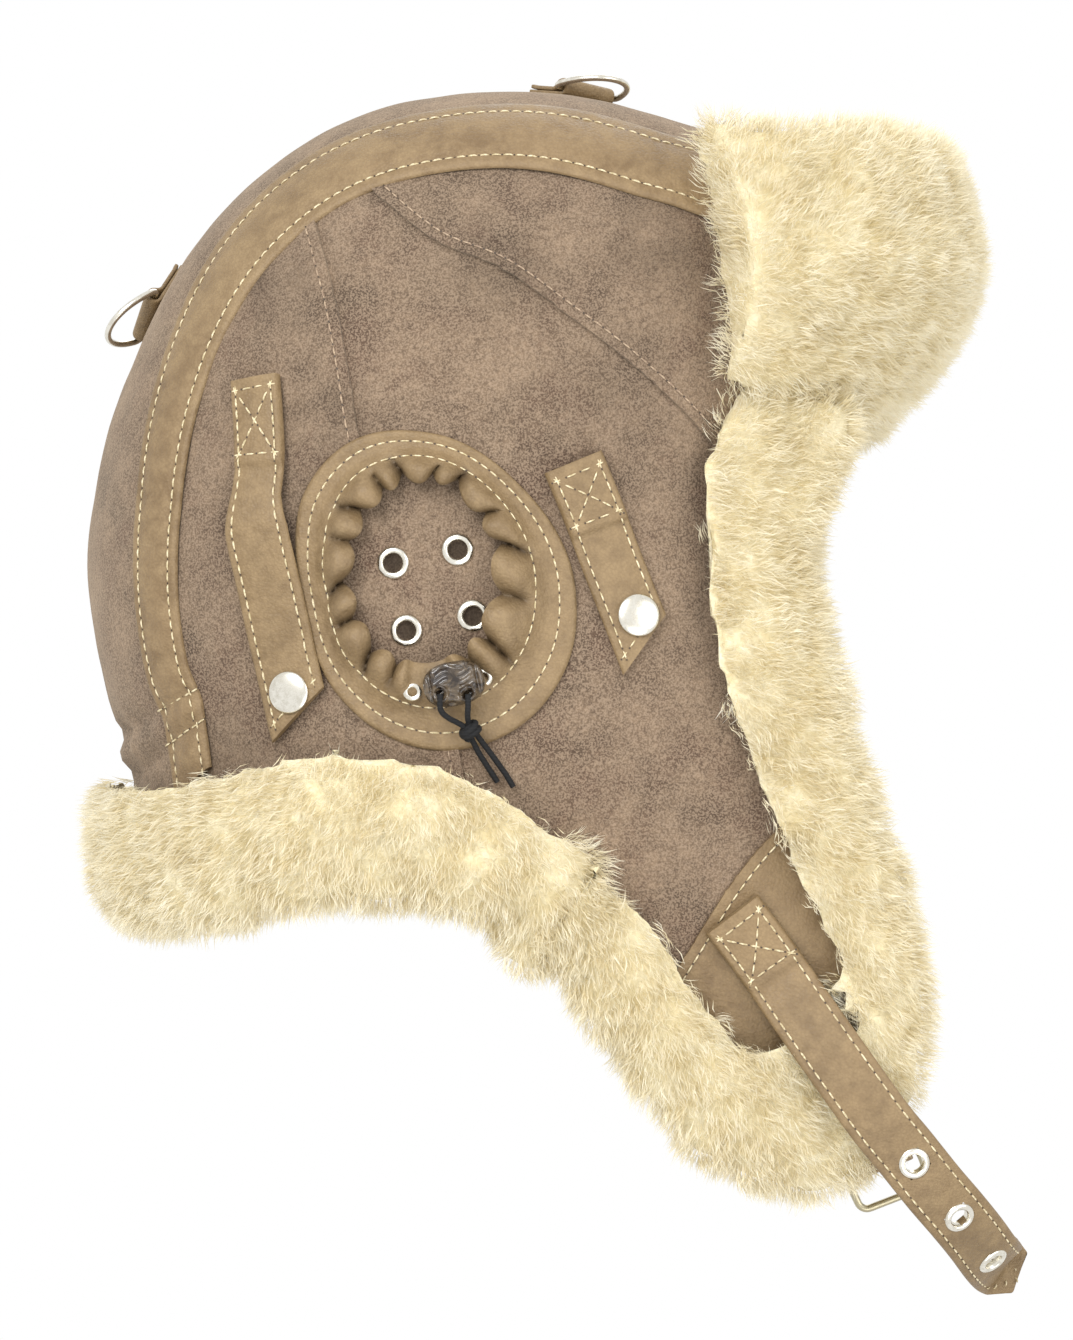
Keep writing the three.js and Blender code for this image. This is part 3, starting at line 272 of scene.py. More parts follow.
def gridQuads(rows, columns, loopRows=False, loopColumns=False):
    r = np.arange(rows if loopRows else rows - 1)[:, None]
    c = np.arange(columns if loopColumns else columns - 1)[None, :]
    r2, c2 = (r + 1) % rows, (c + 1) % columns
    r, r2 = r * columns, r2 * columns
    return np.stack([r + c, r + c2, r2 + c2, r2 + c], -1).reshape(-1, 4)


def wallMesh(name, top, under, quads, material, sharp=None):
    # closed wall between two sheets with the same faces
    used, quads = np.unique(quads, return_inverse=True)
    quads = quads.reshape(-1, 4)
    top, under = top.reshape(-1, 3)[used], under.reshape(-1, 3)[used]
    edges = np.concatenate([quads[:, [k, (k + 1) % 4]] for k in range(4)])
    edges = edges[edges[:, 0] != edges[:, 1]]
    keys, counts = np.unique(np.sort(edges, axis=1), axis=0, return_counts=True)
    rim = keys[counts == 1]
    count = len(used)
    sides = np.stack([rim[:, 0], rim[:, 1], rim[:, 1] + count, rim[:, 0] + count], -1)
    faces = np.concatenate([quads, quads[:, ::-1] + count, sides])
    return makeMesh(name, np.vstack([top, under]), faces.tolist(), material, sharp)


def paint(piece, name, places, values):
    # gives each vertex the value of the nearest place
    places = places.reshape(-1, 3)
    tree = kdtree.KDTree(len(places))
    for i, place in enumerate(places):
        tree.insert(place, i)
    tree.balance()
    store(piece.data, name, [values[tree.find(v.co / mm)[1]] for v in piece.data.vertices])


def basis(x, y, z, origin):
    m = Matrix.Identity(4)
    for k, axis in enumerate((x, y, z, origin)):
        m.col[k][:3] = axis
    return m


def skinBasis(x, z, side, height=0.0):
    # +Z along the skin's outward direction, +X forward
    p = onSide(x, z, side)
    normal = outward(p)
    ahead = unit(np.array([1.0, 0, 0]) - normal * normal[0])
    return basis(ahead, np.cross(normal, ahead), normal, p + normal * height)


def placed(points, matrix):
    m = np.array(matrix)
    return np.asarray(points) @ m[:3, :3].T + m[:3, 3]


def turnedPoints(outline, segments):
    # rings of a turned shape about +Z; the outline is rows of radius and height
    turns = np.arange(segments) * 2 * math.pi / segments
    outline = np.asarray(outline, float)
    r, h = outline[:, :1], outline[:, 1:]
    return np.stack([r * np.cos(turns), r * np.sin(turns), np.broadcast_to(h, (len(outline), segments))], -1)


def turned(name, outline, segments, matrices, material, loop=False):
    # one mesh of a turned shape at each place
    rings = turnedPoints(outline, segments)
    quads = gridQuads(len(rings), segments, loopRows=loop, loopColumns=True)
    points = np.vstack([placed(rings.reshape(-1, 3), m) for m in matrices])
    faces = np.vstack([quads + i * rings[..., 0].size for i in range(len(matrices))])
    return makeMesh(name, points, faces.tolist(), material, sharp=50)


def tubeGrid(path, radius, sides, loop=False):
    # round tube on a path; radius may change along it
    ahead = np.roll(path, -1, 0) - np.roll(path, 1, 0) if loop else np.gradient(path, axis=0)
    ahead = unit(ahead)
    guide = unit(np.cross(ahead[0], [0.31, 0.47, 0.83]))
    normals = []
    for t in ahead:
        guide = unit(guide - t * np.dot(guide, t))
        normals.append(guide)
    normals = np.array(normals)
    other = np.cross(ahead, normals)
    turn = (np.arange(sides) * 2 * math.pi / sides)[None, :, None]
    radius = np.broadcast_to(radius, len(path))[:, None, None]
    return path[:, None] + radius * (normals[:, None] * np.cos(turn) + other[:, None] * np.sin(turn))


def tube(name, path, radius, sides, material, loop=False):
    rings = tubeGrid(path, radius, sides, loop)
    quads = gridQuads(len(path), sides, loopRows=loop, loopColumns=True)
    faces = quads.tolist()
    if not loop:
        faces += [list(range(sides)), list(range((len(path) - 1) * sides, len(path) * sides))]
    return makeMesh(name, rings, faces, material)


# Materials
def colour(code):
    # sRGB hex to linear
    parts = [int(code[i : i + 2], 16) / 255 for i in (1, 3, 5)]
    return tuple(c / 12.92 if c <= 0.04045 else ((c + 0.055) / 1.055) ** 2.4 for c in parts) + (1,)


def feed(tree, socket, value):
    # links another socket to this one, or gives it a value
    if isinstance(value, bpy.types.NodeSocket):
        tree.links.new(value, socket)
    else:
        socket.default_value = colour(value) if str(value).startswith("#") else value


def addNode(tree, kind, links=None, **settings):
    # a node with its settings; links go from input names to sockets or values
    node = tree.nodes.new(kind)
    for key, value in settings.items():
        setattr(node, key, value)
    for key, value in (links or {}).items():
        feed(tree, node.inputs[key], value)
    return node


class Surface:
    # a material, and the steps that shade it: sizes are in millimetres, colours are hex codes or sockets
    def __init__(self, name, values):
        self.material = bpy.data.materials.new(name)
        self.material.use_nodes = True
        self.tree = self.material.node_tree
        self.shader = self.tree.nodes["Principled BSDF"]
        self.place = self.node("ShaderNodeTexCoord").outputs["Object"]
        self.take(values)

    def take(self, values):
        for key, value in values.items():
            feed(self.tree, self.shader.inputs[key], value)
        return self.material

    def node(self, kind, links=None, **settings):
        return addNode(self.tree, kind, links, **settings)

    def attribute(self, name):
        return self.node("ShaderNodeAttribute", attribute_name=name).outputs["Fac"]

    def patches(self, size, detail=3, roughness=0.55, distortion=0.0, place=None):
        # noise whose features are about size wide
        links = {"Vector": self.place if place is None else place, "Scale": 1 / (size * mm)}
        links |= {"Detail": detail, "Roughness": roughness, "Distortion": distortion}
        return self.node("ShaderNodeTexNoise", links).outputs["Fac"]

    def span(self, value, low, high, start=0.0, end=1.0):
        links = {"Value": value, "From Min": low, "From Max": high, "To Min": start, "To Max": end}
        return self.node("ShaderNodeMapRange", links).outputs["Result"]

    def blend(self, share, a, b):
        return self.node("ShaderNodeMix", {0: share, 6: a, 7: b}, data_type="RGBA").outputs[2]

    def bump(self, height, strength, distance, before=None):
        links = {"Height": height, "Strength": strength, "Distance": distance * mm}
        if before:
            links["Normal"] = before
        return self.node("ShaderNodeBump", links).outputs["Normal"]


def suedeMaterial():
    # sheepskin suede, buffed: matt, mottled where the nap lies over, with a faint pale sheen
    s = Surface("buffed_suede", {
        "Roughness": 0.95, "Specular IOR Level": 0.15, "Sheen Weight": 0.3, "Sheen Roughness": 0.6,
        "Sheen Tint": "#D8C8B2",
    })
    wide = s.span(s.patches(40, 4, 0.62, 0.8), 0.4, 0.6)
    cloud = s.span(s.patches(14, 3, 0.56, 0.3), 0.38, 0.66)
    rosy = s.span(s.patches(26, 3, 0.6, 0.8), 0.5, 0.66, 0, 0.62)
    speck = s.span(s.patches(1.6, 3, 0.7), 0.36, 0.66)
    nap = s.patches(0.55, 2, 0.6)  # real nap is finer: drawn at half a millimetre to show
    base = s.blend(wide, "#43362C", "#6D5B4A")
    base = s.blend(s.span(cloud, 0, 1, 0, 0.62), base, "#8E7963")
    base = s.blend(rosy, base, "#4E392F")
    base = s.blend(s.span(speck, 0, 1, 0, 0.6), base, "#40332A")
    base = s.blend(s.span(nap, 0.43, 0.58, 0, 0.55), base, "#9C8873")
    # the "fold" attribute darkens it: handling stains on the side panels, and painted shade in the ear discs'
    # eyelet holes
    base = s.blend(s.attribute("fold"), base, "#1E1712")
    return s.take({"Base Color": base, "Normal": s.bump(speck, 0.35, 0.35, s.bump(nap, 0.5, 0.28))})


def leatherMaterial(name, dark, mid, pale):
    # soft sheep nappa, aniline dyed: fine pebbled grain with pull creases and a low satin gloss
    s = Surface(name, {"IOR": 1.45, "Specular IOR Level": 0.4})
    wide = s.span(s.patches(22, 3, 0.6, 0.4), 0.36, 0.66)
    cloud = s.span(s.patches(5, 3, 0.6, 0.3), 0.38, 0.66)
    cells = s.node("ShaderNodeTexVoronoi", {"Vector": s.place, "Scale": 1 / (0.85 * mm)}, feature="F1")
    grain = cells.outputs["Distance"]
    pulled = s.node("ShaderNodeMapping", {"Vector": s.place, "Scale": (1, 1, 2.6), "Rotation": (0, 0.5, 0)})
    creases = s.patches(3.2, 4, 0.65, 1.2, place=pulled.outputs["Vector"])
    base = s.blend(wide, dark, mid)
    base = s.blend(s.span(cloud, 0, 1, 0, 0.6), base, pale)
    base = s.blend(s.span(s.span(grain, 0.25, 0.8), 0, 1, 0, 0.22), base, "#5F4A34")
    # painted shade: the "fold" attribute darkens the ear pocket's creases
    base = s.blend(s.attribute("fold"), base, "#35281B")
    raised = s.node("ShaderNodeMath", {0: 1.0, 1: grain}, operation="SUBTRACT").outputs[0]
    relief = s.bump(creases, 0.5, 0.5, s.bump(raised, 0.6, 0.24))
    return s.take({"Base Color": base, "Roughness": s.span(cloud, 0, 1, 0.44, 0.6), "Normal": relief})


def woolMaterial():
    # clipped sheep's wool: pale fibres that let light through, yellower in the depths between the locks
    s = Surface("clipped_wool", {"Roughness": 0.85, "Specular IOR Level": 0.2})
    root, mid, tip = "#D8C99E", "#F1EAD4", "#F9F7EC"
    clumps = s.span(s.patches(9, 3, 0.6, 0.3), 0.36, 0.66)
    base = s.blend(s.span(s.attribute("tip"), 0.1, 0.85), root, mid)
    base = s.blend(s.span(s.attribute("shade"), 0, 1, 0, 0.75), base, tip)
    base = s.blend(s.span(clumps, 0, 1, 0.3, 0), base, root)
    glow = s.node("ShaderNodeBsdfTranslucent", {"Color": base})
    mixed = s.node("ShaderNodeMixShader", {0: 0.45, 1: s.shader.outputs[0], 2: glow.outputs[0]})
    s.tree.links.new(mixed.outputs[0], s.tree.nodes["Material Output"].inputs["Surface"])
    return s.take({"Base Color": base})


def fleeceMaterial():
    # the wool's own body under its locks: dense curls that read as soft crumbs, with painted shade in the
    # hollows between curls
    s = Surface("fleece_body", {"Roughness": 0.9, "Specular IOR Level": 0.1})
    curls = s.patches(2.4, 4, 0.65, 1.5)
    clumps = s.span(s.patches(9, 3, 0.6, 0.3), 0.36, 0.66)
    base = s.blend(clumps, "#DFD2AC", "#EBE3C8")
    # painted shade: darker where the curls' bump sinks
    base = s.blend(s.span(curls, 0.35, 0.6, 0.5, 0), base, "#CDBD90")
    return s.take({"Base Color": base, "Normal": s.bump(curls, 0.9, 1.2)})


def nickelMaterial(name, base, rough):
    # nickel plate, drawn or pressed then polished: bright with soft rub marks
    s = Surface(name, {"Metallic": 1.0})
    rubs = s.patches(1.8, 3, 0.7)
    worn = s.blend(s.span(rubs, 0.4, 0.7, 0, 0.5), base, "#A79F8A")
    dulled = s.span(rubs, 0.3, 0.7, rough, rough + 0.14)
    return s.take({"Base Color": worn, "Roughness": dulled, "Normal": s.bump(rubs, 0.08, 0.1)})


def lockMaterial():
    # smoky acetal, moulded: dark brown, slightly see-through, glossy
    s = Surface("smoky_moulded_plastic", {
        "Roughness": 0.16, "IOR": 1.48, "Transmission Weight": 0.25, "Coat Weight": 0.4,
    })
    swirl = s.span(s.patches(3.5, 3, 0.6, 1.0), 0.4, 0.65)
    return s.take({"Base Color": s.blend(swirl, "#2A211A", "#6A5B48")})


def cordMaterial():
    # black braided elastic: a matt rib about every half millimetre
    s = Surface("braided_elastic", {"Roughness": 0.85})
    wave = {"Vector": s.place, "Scale": 1 / (3.2 * mm), "Distortion": 1.5}
    ribs = s.node("ShaderNodeTexWave", wave, bands_direction="Z").outputs["Fac"]
    return s.take({"Base Color": s.blend(ribs, "#030304", "#0E0E10"), "Normal": s.bump(ribs, 0.5, 0.15)})


def threadMaterial(name, dark, pale):
    # bonded polyester sewing thread with a slight shine
    s = Surface(name, {"Roughness": 0.55})
    twist = s.blend(s.span(s.patches(0.9, 2, 0.6), 0.4, 0.6), dark, pale)
    # painted shade: the "hole" attribute paints each needle hole's disc dark brown
    return s.take({"Base Color": s.blend(s.attribute("hole"), twist, "#3E2F20")})


suede = suedeMaterial()
nappa = leatherMaterial("soft_nappa", "#735E42", "#877152", "#96805F")
strapNappa = leatherMaterial("strap_nappa", "#746044", "#856F4F", "#947E5D")
wool, fleece = woolMaterial(), fleeceMaterial()
nickel = nickelMaterial("polished_nickel", "#E9E5DA", 0.16)
buckleWire = nickelMaterial("dull_plated_wire", "#B3AA8E", 0.26)
lockPlastic, elastic = lockMaterial(), cordMaterial()
thread = threadMaterial("cream_thread", "#B5A57E", "#DCCFAE")
brownThread = threadMaterial("brown_thread", "#8A7460", "#B29C82")
print("stage: materials")


# Side-view outline of the hide: from the forehead down the face side, round the flap's tip, to the nape
hideEdge = np.array([
    (0.832, 0.045), (0.824, 0.01), (0.855, -0.073), (0.885, -0.174), (0.931, -0.275), (1.012, -0.4),
    (1.1, -0.553), (1.15, -0.69), (1.145, -0.81), (1.06, -0.895), (0.92, -0.93), (0.77, -0.92),
    (0.64, -0.875), (0.52, -0.8), (0.4, -0.705), (0.28, -0.61), (0.13, -0.54), (-0.05, -0.508),
    (-0.25, -0.503), (-0.45, -0.512), (-0.6, -0.535), (-0.7, -0.55),
])
seamPoints = dict(
    diagonal=[(-0.33, 0.83), (-0.074, 0.651), (0.103, 0.586), (0.267, 0.489), (0.442, 0.38), (0.63, 0.234),
              (0.79, 0.05), (1.05, -0.2)],
    upright=[(-0.42, 0.8), (-0.332, 0.519), (-0.302, 0.39), (-0.271, 0.233), (-0.163, -0.078),
             (-0.011, -0.307), (0.02, -0.477), (0.03, -0.7)],
    chin=[(1.1, -0.3), (0.778, -0.455), (0.581, -0.617), (0.3, -0.9)],
)
shell = dict(
    hide=2.0, columns=400, rows=46, lap=0.9, lapWidth=7, groove=0.5, grooveWidth=2.2, billow=1.1, ripple=0.4,
    stitchIn=3, stitchRise=0.15, lining=dict(columns=130, rows=24, start=2.3, depth=8.6),
    stains=[dict(x=21, z=-47, reach=15, depth=0.34), dict(x=55, z=-79, reach=19, depth=0.2),
            dict(x=-47, z=-49, reach=15, depth=0.34), dict(x=66, z=-38, reach=15, depth=0.34),
            dict(x=-30, z=-92, reach=14, depth=0.25), dict(x=-62, z=-190, reach=16, depth=0.2)],
    creases=[dict(x=34, z=-99, reach=20, depth=1.4), dict(x=76, z=-193, reach=20, depth=1.4),
             dict(x=-52, z=-176, reach=16, depth=0.7), dict(x=62, z=-128, reach=24, depth=0.45)],
)
stitchRuns = {right: [], left: []}
suedeRuns = {right: [], left: []}


def sew(side, line, up, height=0.0, plain=False):
    # plain runs are sewn in thread of the suede's own colour
    runs = suedeRuns if plain else stitchRuns
    runs[side].append((line + up * np.broadcast_to(height, len(line))[:, None], up))


def toMillimetres(shares):
    shares = np.asarray(shares, float)
    return np.stack([sideX(shares[:, 0]), sideZ(shares[:, 1])], -1)


seamLines = {name: smoothPath(toMillimetres(points), 170) for name, points in seamPoints.items()}


def beside(places, line):
    # distance from a line in side view, positive on its left
    flat = places.reshape(-1, 2)
    away = flat[:, None] - line[None]
    nearest = np.argmin((away**2).sum(-1), axis=1)
    tangent = np.gradient(line, axis=0)[nearest]
    gap = flat - line[nearest]
    turn = tangent[:, 0] * gap[:, 1] - tangent[:, 1] * gap[:, 0]
    return (np.sign(turn) * np.linalg.norm(gap, axis=1)).reshape(places.shape[:-1])


def napeDeg(up, y):
    low, high = np.full(np.shape(y), 195.0), np.full(np.shape(y), 250.0)
    for _ in range(24):
        middle = (low + high) / 2
        above = onCrown(middle, y)[..., 2] > sideZ(up)
        low, high = np.where(above, middle, low), np.where(above, high, middle)
    return low


# Ear pocket layout: sewn outline and the gathered opening
pocket = dict(
    reach=48, rise=9, halfWidth=20, halfHeight=26.5, openingX=-2.2, openingZ=5, leather=1.3, discShare=0.8,
    around=300, across=27, scallop=5.2, foldDepth=0.88, stitchAt=(0.19, 0.46),
)
pocketOutline = np.array([
    (0, 0.87), (48, 0.83), (90, 0.955), (117, 1.03), (142, 0.98), (165, 0.86), (190, 0.79), (226, 0.85),
    (270, 0.97), (300, 0.985), (330, 0.94),
])
pocketAt = roundCurve(pocketOutline[:, 0], pocketOutline[:, 1])
ear = np.array([sideX(-0.078), sideZ(-0.075)])


def degAboutEar(places):
    return np.degrees(np.arctan2(places[:, 1] - ear[1], places[:, 0] - ear[0]))


def fromEar(deg, reach):
    deg, reach = np.broadcast_arrays(np.asarray(deg, float), np.asarray(reach, float))
    return ear + reach[..., None] * np.stack([np.cos(np.radians(deg)), np.sin(np.radians(deg))], -1)


def pocketEdge(deg, share):
    return fromEar(deg, pocket["reach"] * pocketAt(deg) * share)


def sideOutline(count):
    # seam above, hide's edge below
    ySeam = seamHalf + 0.2
    degs = np.linspace(body["foreheadDeg"] - 3.4, float(napeDeg(body["napeUp"], np.array(seamHalf))), 300)
    upper = onCrown(degs, ySeam)[:, [0, 2]]
    edge = smoothPath(toMillimetres(hideEdge), 500)[::-1]
    edge = edge[np.abs(onSide(edge[:, 0], edge[:, 1], left)[:, 1]) > ySeam + 2]
    return spread(np.vstack([upper, edge, upper[:1]]), count + 1)[:-1]


# Which part lies on top at each seam, on the seam's left or right
laps = dict(diagonal=1, upright=-1, chin=1)


def shellHeight(places, skin, side):
    # relief of the sewn suede: soft billows, pressed creases and short pull wrinkles
    s = shell
    height = s["billow"] * rumple(skin, 42, side) + s["ripple"] * rumple(skin, 13, side + 4)
    for c in s["creases"]:
        weight = bell(np.hypot(places[..., 0] - c["x"], places[..., 1] - c["z"]), c["reach"])
        folds = rumple(skin * np.array([1, 1, 2.2]), 9, side + 9, ridged=True)
        height += c["depth"] * weight * (folds - 0.6)
    return height


def seamStep(name, d, onTop):
    # the upper part rises at its cut edge, the lower one dips under it
    s = shell
    return s["lap"] * bell(d, s["lapWidth"]) if onTop else -s["groove"] * bell(d, s["grooveWidth"])


def cutAlong(places, quads, line):
    # moves the grid's nearest points onto a line and splits the faces that it crosses at their corners
    flat = places.reshape(-1, 2).copy()
    d = beside(flat, line)
    edges = np.concatenate([quads[:, [k, (k + 1) % 4]] for k in range(4)])
    a, b = edges[d[edges[:, 0]] * d[edges[:, 1]] < 0].T
    share = d[a] / (d[a] - d[b])
    spot = flat[a] * (1 - share)[:, None] + flat[b] * share[:, None]
    nearer = np.where(share < 0.5, a, b)
    flat[nearer] = spot
    d[nearer] = 0
    sign = np.sign(d)[quads]
    crossed = (sign.max(1) > 0) & (sign.min(1) < 0)
    first = crossed & (sign[:, 0] == 0) & (sign[:, 2] == 0)
    second = crossed & ~first
    p, q = quads[first], quads[second]
    split = [p[:, [0, 1, 2, 2]], p[:, [0, 2, 3, 3]], q[:, [0, 1, 3, 3]], q[:, [1, 2, 3, 3]]]
    return flat, np.concatenate([quads[~crossed], *split])


def sidePanels(side):
    s, hand = shell, hands[side]
    outline = sideOutline(s["columns"])
    inner = pocketEdge(degAboutEar(outline), pocket["discShare"] + 0.02)
    f = np.linspace(0, 1, s["rows"])[:, None, None]
    places = inner[None] * (1 - f) + outline[None] * f
    faces = gridQuads(s["rows"], s["columns"], loopColumns=True)
    for name in ("upright", "diagonal", "chin"):
        places, faces = cutAlong(places, faces, seamLines[name])
    rim = np.repeat(ease((1 - f[:, 0]) / 0.03 + 0.4), s["columns"], axis=1).ravel()
    skin = onSide(places[:, 0], places[:, 1], side)
    normal = outward(skin)
    away = {name: beside(places, line) for name, line in seamLines.items()}
    middle = places[faces].mean(1)
    middle = np.where((faces[:, 2] == faces[:, 3])[:, None], places[faces[:, :3]].mean(1), middle)
    onChin = beside(middle, seamLines["chin"]) > 0
    onBrow = ~onChin & (beside(middle, seamLines["diagonal"]) > 0)
    onRear = ~onChin & ~onBrow & (beside(middle, seamLines["upright"]) < 0)
    parts = dict(
        chin_patch=(onChin, dict(chin=True)), brow_panel=(onBrow, dict(chin=False, diagonal=True)),
        rear_panel=(onRear, dict(chin=False, diagonal=False, upright=True)),
        cheek_panel=(~onChin & ~onBrow & ~onRear, dict(chin=False, diagonal=False, upright=False)),
    )
    relief = shellHeight(places, skin, side)
    for node, (part, seams) in parts.items():
        height = relief + sum(seamStep(name, away[name], onTop) for name, onTop in seams.items())
        top, under = skin + normal * (height * rim)[:, None], skin - normal * s["hide"]
        smooth = node == "chin_patch"
        name = node.replace("panel", "suede").replace("patch", "leather")
        piece = wallMesh(f"{name}_{hand}", top, under, faces[part], nappa if smooth else suede, sharp=60)
        if not smooth:
            used = np.unique(faces[part])
            paint(piece, "fold", top[used], stainAt(places[used], skin[used]))
        settle(piece, [f"{node}_{hand}"])
    seamStitches(side)


def stainAt(places, skin):
    # places where the nap is darker from handling
    cloud = 0.75 + 0.9 * rumple(skin, 9, 61)
    return sum(c["depth"] * bell(np.hypot(places[:, 0] - c["x"], places[:, 1] - c["z"]), c["reach"])
               for c in shell["stains"]) * np.clip(cloud, 0, 1.4)


def seamStitches(side):
    # one row beside each seam, on the part that lies on top, as far as that part goes
    outline = sideOutline(300)
    for name, line in seamLines.items():
        ahead = np.gradient(line, axis=0)
        across = np.stack([-ahead[:, 1], ahead[:, 0]], -1) / np.linalg.norm(ahead, axis=1, keepdims=True)
        row = smoothPath((line + across * laps[name] * shell["stitchIn"])[::4], 160)
        clear = beside(row, seamLines["chin"]) < -1 if name != "chin" else np.full(len(row), True)
        if name == "upright":
            clear &= beside(row, seamLines["diagonal"]) < -1
        inHide = np.array([insideOf(outline, spot) for spot in row])
        offPocket = np.linalg.norm(row - ear, axis=1) > pocket["reach"] * pocketAt(degAboutEar(row)) + 1
        keep = clear & inHide & offPocket
        skin = onSide(row[:, 0], row[:, 1], side)
        height = shellHeight(row, skin, side) + seamStep(name, np.array(shell["stitchIn"]), True)
        for run in np.split(np.arange(len(row)), np.flatnonzero(np.diff(keep.astype(int))) + 1):
            if keep[run[0]] and len(run) > 4:
                up = outward(skin[run])
                sew(side, skin[run], up, height[run] + shell["stitchRise"], plain=name != "chin")


def insideOf(outline, spot):
    # whether a place lies inside a closed outline in side view
    x, z = outline.T
    x2, z2 = np.roll(x, -1), np.roll(z, -1)
    crosses = ((z > spot[1]) != (z2 > spot[1])) & (spot[0] < x + (spot[1] - z) / (z2 - z + 1e-12) * (x2 - x))
    return bool(crosses.sum() % 2)


def woolInside(name, skin, normal, quads, seeds):
    # clipped wool on the inside of a panel
    s = shell["lining"]
    curls = rumple(skin, 9, seeds[0]) * 1.3 + rumple(skin, 4.5, seeds[1]) * 0.6
    top, under = skin - normal * s["start"], skin - normal * (s["depth"] + curls)[..., None]
    settle(wallMesh(f"wool_lining_{name}", top, under, quads, fleece))


def lining(side):
    columns, rows = shell["lining"]["columns"], shell["lining"]["rows"]
    f = np.linspace(0, 0.985, rows)[:, None, None]
    places = ear * (1 - f) + sideOutline(columns)[None] * f
    skin = onSide(places[..., 0], places[..., 1], side)
    quads = gridQuads(rows, columns, loopColumns=True)
    woolInside(hands[side], skin, outward(skin), quads, (side + 20, side + 23))


# The strip over the crown, with the elastic's stitched channel low on the nape
strip = dict(rows=200, columns=32, channelDeg=199.5, channelHalf=2, roll=2.0, crease=1.7, gathers=0.8)


def channelHeight(deg, y):
    away = np.abs(deg - strip["channelDeg"]) / strip["channelHalf"]
    gathers = strip["gathers"] * np.sin(y * 0.62 + 1.5 * np.sin(y * 0.17)) * np.exp(-((away / 1.7) ** 2))
    return strip["roll"] * bell(away, 0.6) - strip["crease"] * bell(away - 1, 0.3) + gathers


def centrePanel():
    y = np.linspace(-seamHalf + 0.2, seamHalf - 0.2, strip["columns"])
    ends = napeDeg(body["napeUp"], y)
    t = np.linspace(0, 1, strip["rows"])[:, None]
    deg = body["foreheadDeg"] + (ends[None] - body["foreheadDeg"]) * t
    skin = onCrown(deg, np.broadcast_to(y, deg.shape))
    normal = outward(skin)
    height = channelHeight(deg, y[None]) + 0.9 * rumple(skin, 40, 7) + 0.3 * rumple(skin, 12, 8)
    quads = gridQuads(*deg.shape)
    top, under = skin + normal * height[..., None], skin - normal * shell["hide"]
    piece = wallMesh("crown_centre_suede", top, under, quads, suede, sharp=60)
    settle(piece, ["crown_centre_panel"])
    withoutEnd = quads.reshape(strip["rows"] - 1, -1, 4)[:-3].reshape(-1, 4)
    woolInside("crown", skin, normal, withoutEnd, (30, 31))


centrePanel()
for side in hands:
    sidePanels(side)
    lining(side)
print("stage: shell")


# Eyelets, press studs
metal = dict(
    eyeletReach=14, eyeletAngles=(58, 145, 237, 328), eyeletRadius=4.8, eyeletBore=2.8, studRadius=6.3,
    studHeight=2.5, studSegments=40,
)


def eyelet(node, place, shank, radius=metal["eyeletRadius"], bore=metal["eyeletBore"], segments=40):
    brim, wall = radius - bore, 0.45
    rim = [(0.82, 0.55), (0.5, 0.9), (0.22, 0.84), (0.04, 0.5)]
    outline = [(bore, -shank), (bore + wall, -shank), (bore + wall, -0.1), (radius, 0), (radius, 0.18)]
    outline += [(bore + share * brim, height) for share, height in rim]
    piece = turned(f"{node}_brim", outline, segments, [place], nickel, loop=True)
    settle(piece, [node])


def studOutline(radius, height):
    dome = [(radius * math.sin(a), height * (0.42 + 0.58 * math.cos(a))) for a in np.linspace(0.03, 1.45, 9)]
    return [(0, height), *dome, (radius, height * 0.3), (radius * 0.96, 0.05), (radius * 0.9, 0), (0, 0)]


disc = dict(
    rows=32, columns=130, billow=0.5, dimple=0.7, dimpleWidth=6.5, seamDip=0.7, seamWidth=1.3, sunk=0.8,
    shade=0.85, shank=3.5, eyeletSeat=-0.35,
)


def earDisc(side):
    # suede behind the ear's opening: it sinks where it shows through its four eyelets, and painted shade
    # darkens it there
    c, hand = disc, hands[side]
    rows, columns = c["rows"], c["columns"]
    deg = np.arange(columns) * 360 / columns
    rim = pocketEdge(deg, pocket["discShare"])
    f = np.linspace(0, 1, rows)[:, None, None]
    places = ear * (1 - f) + rim[None] * f
    skin = onSide(places[..., 0], places[..., 1], side)
    normal = outward(skin)
    spots = fromEar(metal["eyeletAngles"], metal["eyeletReach"])
    near = np.min(np.linalg.norm(places[..., None, :] - spots, axis=-1), axis=-1)
    upright = beside(places, seamLines["upright"])
    height = c["billow"] * rumple(skin, 16, side + 40) - c["dimple"] * bell(near, c["dimpleWidth"])
    height -= c["seamDip"] * bell(upright, c["seamWidth"])
    quads = gridQuads(rows, columns, loopColumns=True)
    sunk = c["sunk"] * ease((metal["eyeletBore"] + 1.2 - near) / 0.9)
    top, under = skin + normal * (height - sunk)[..., None], skin - normal * (shell["hide"] + sunk)[..., None]
    piece = wallMesh(f"ear_suede_{hand}", top, under, quads, suede, sharp=60)
    # painted shade down in each eyelet hole
    paint(piece, "fold", top, c["shade"] * ease((metal["eyeletBore"] + 0.9 - near) / 0.8).ravel())
    settle(piece, [f"ear_disc_{hand}"])
    for i, (x, z) in enumerate(spots):
        eyelet(f"ear_eyelet_{hand}_{i + 1}", skinBasis(x, z, side, c["eyeletSeat"]), c["shank"])


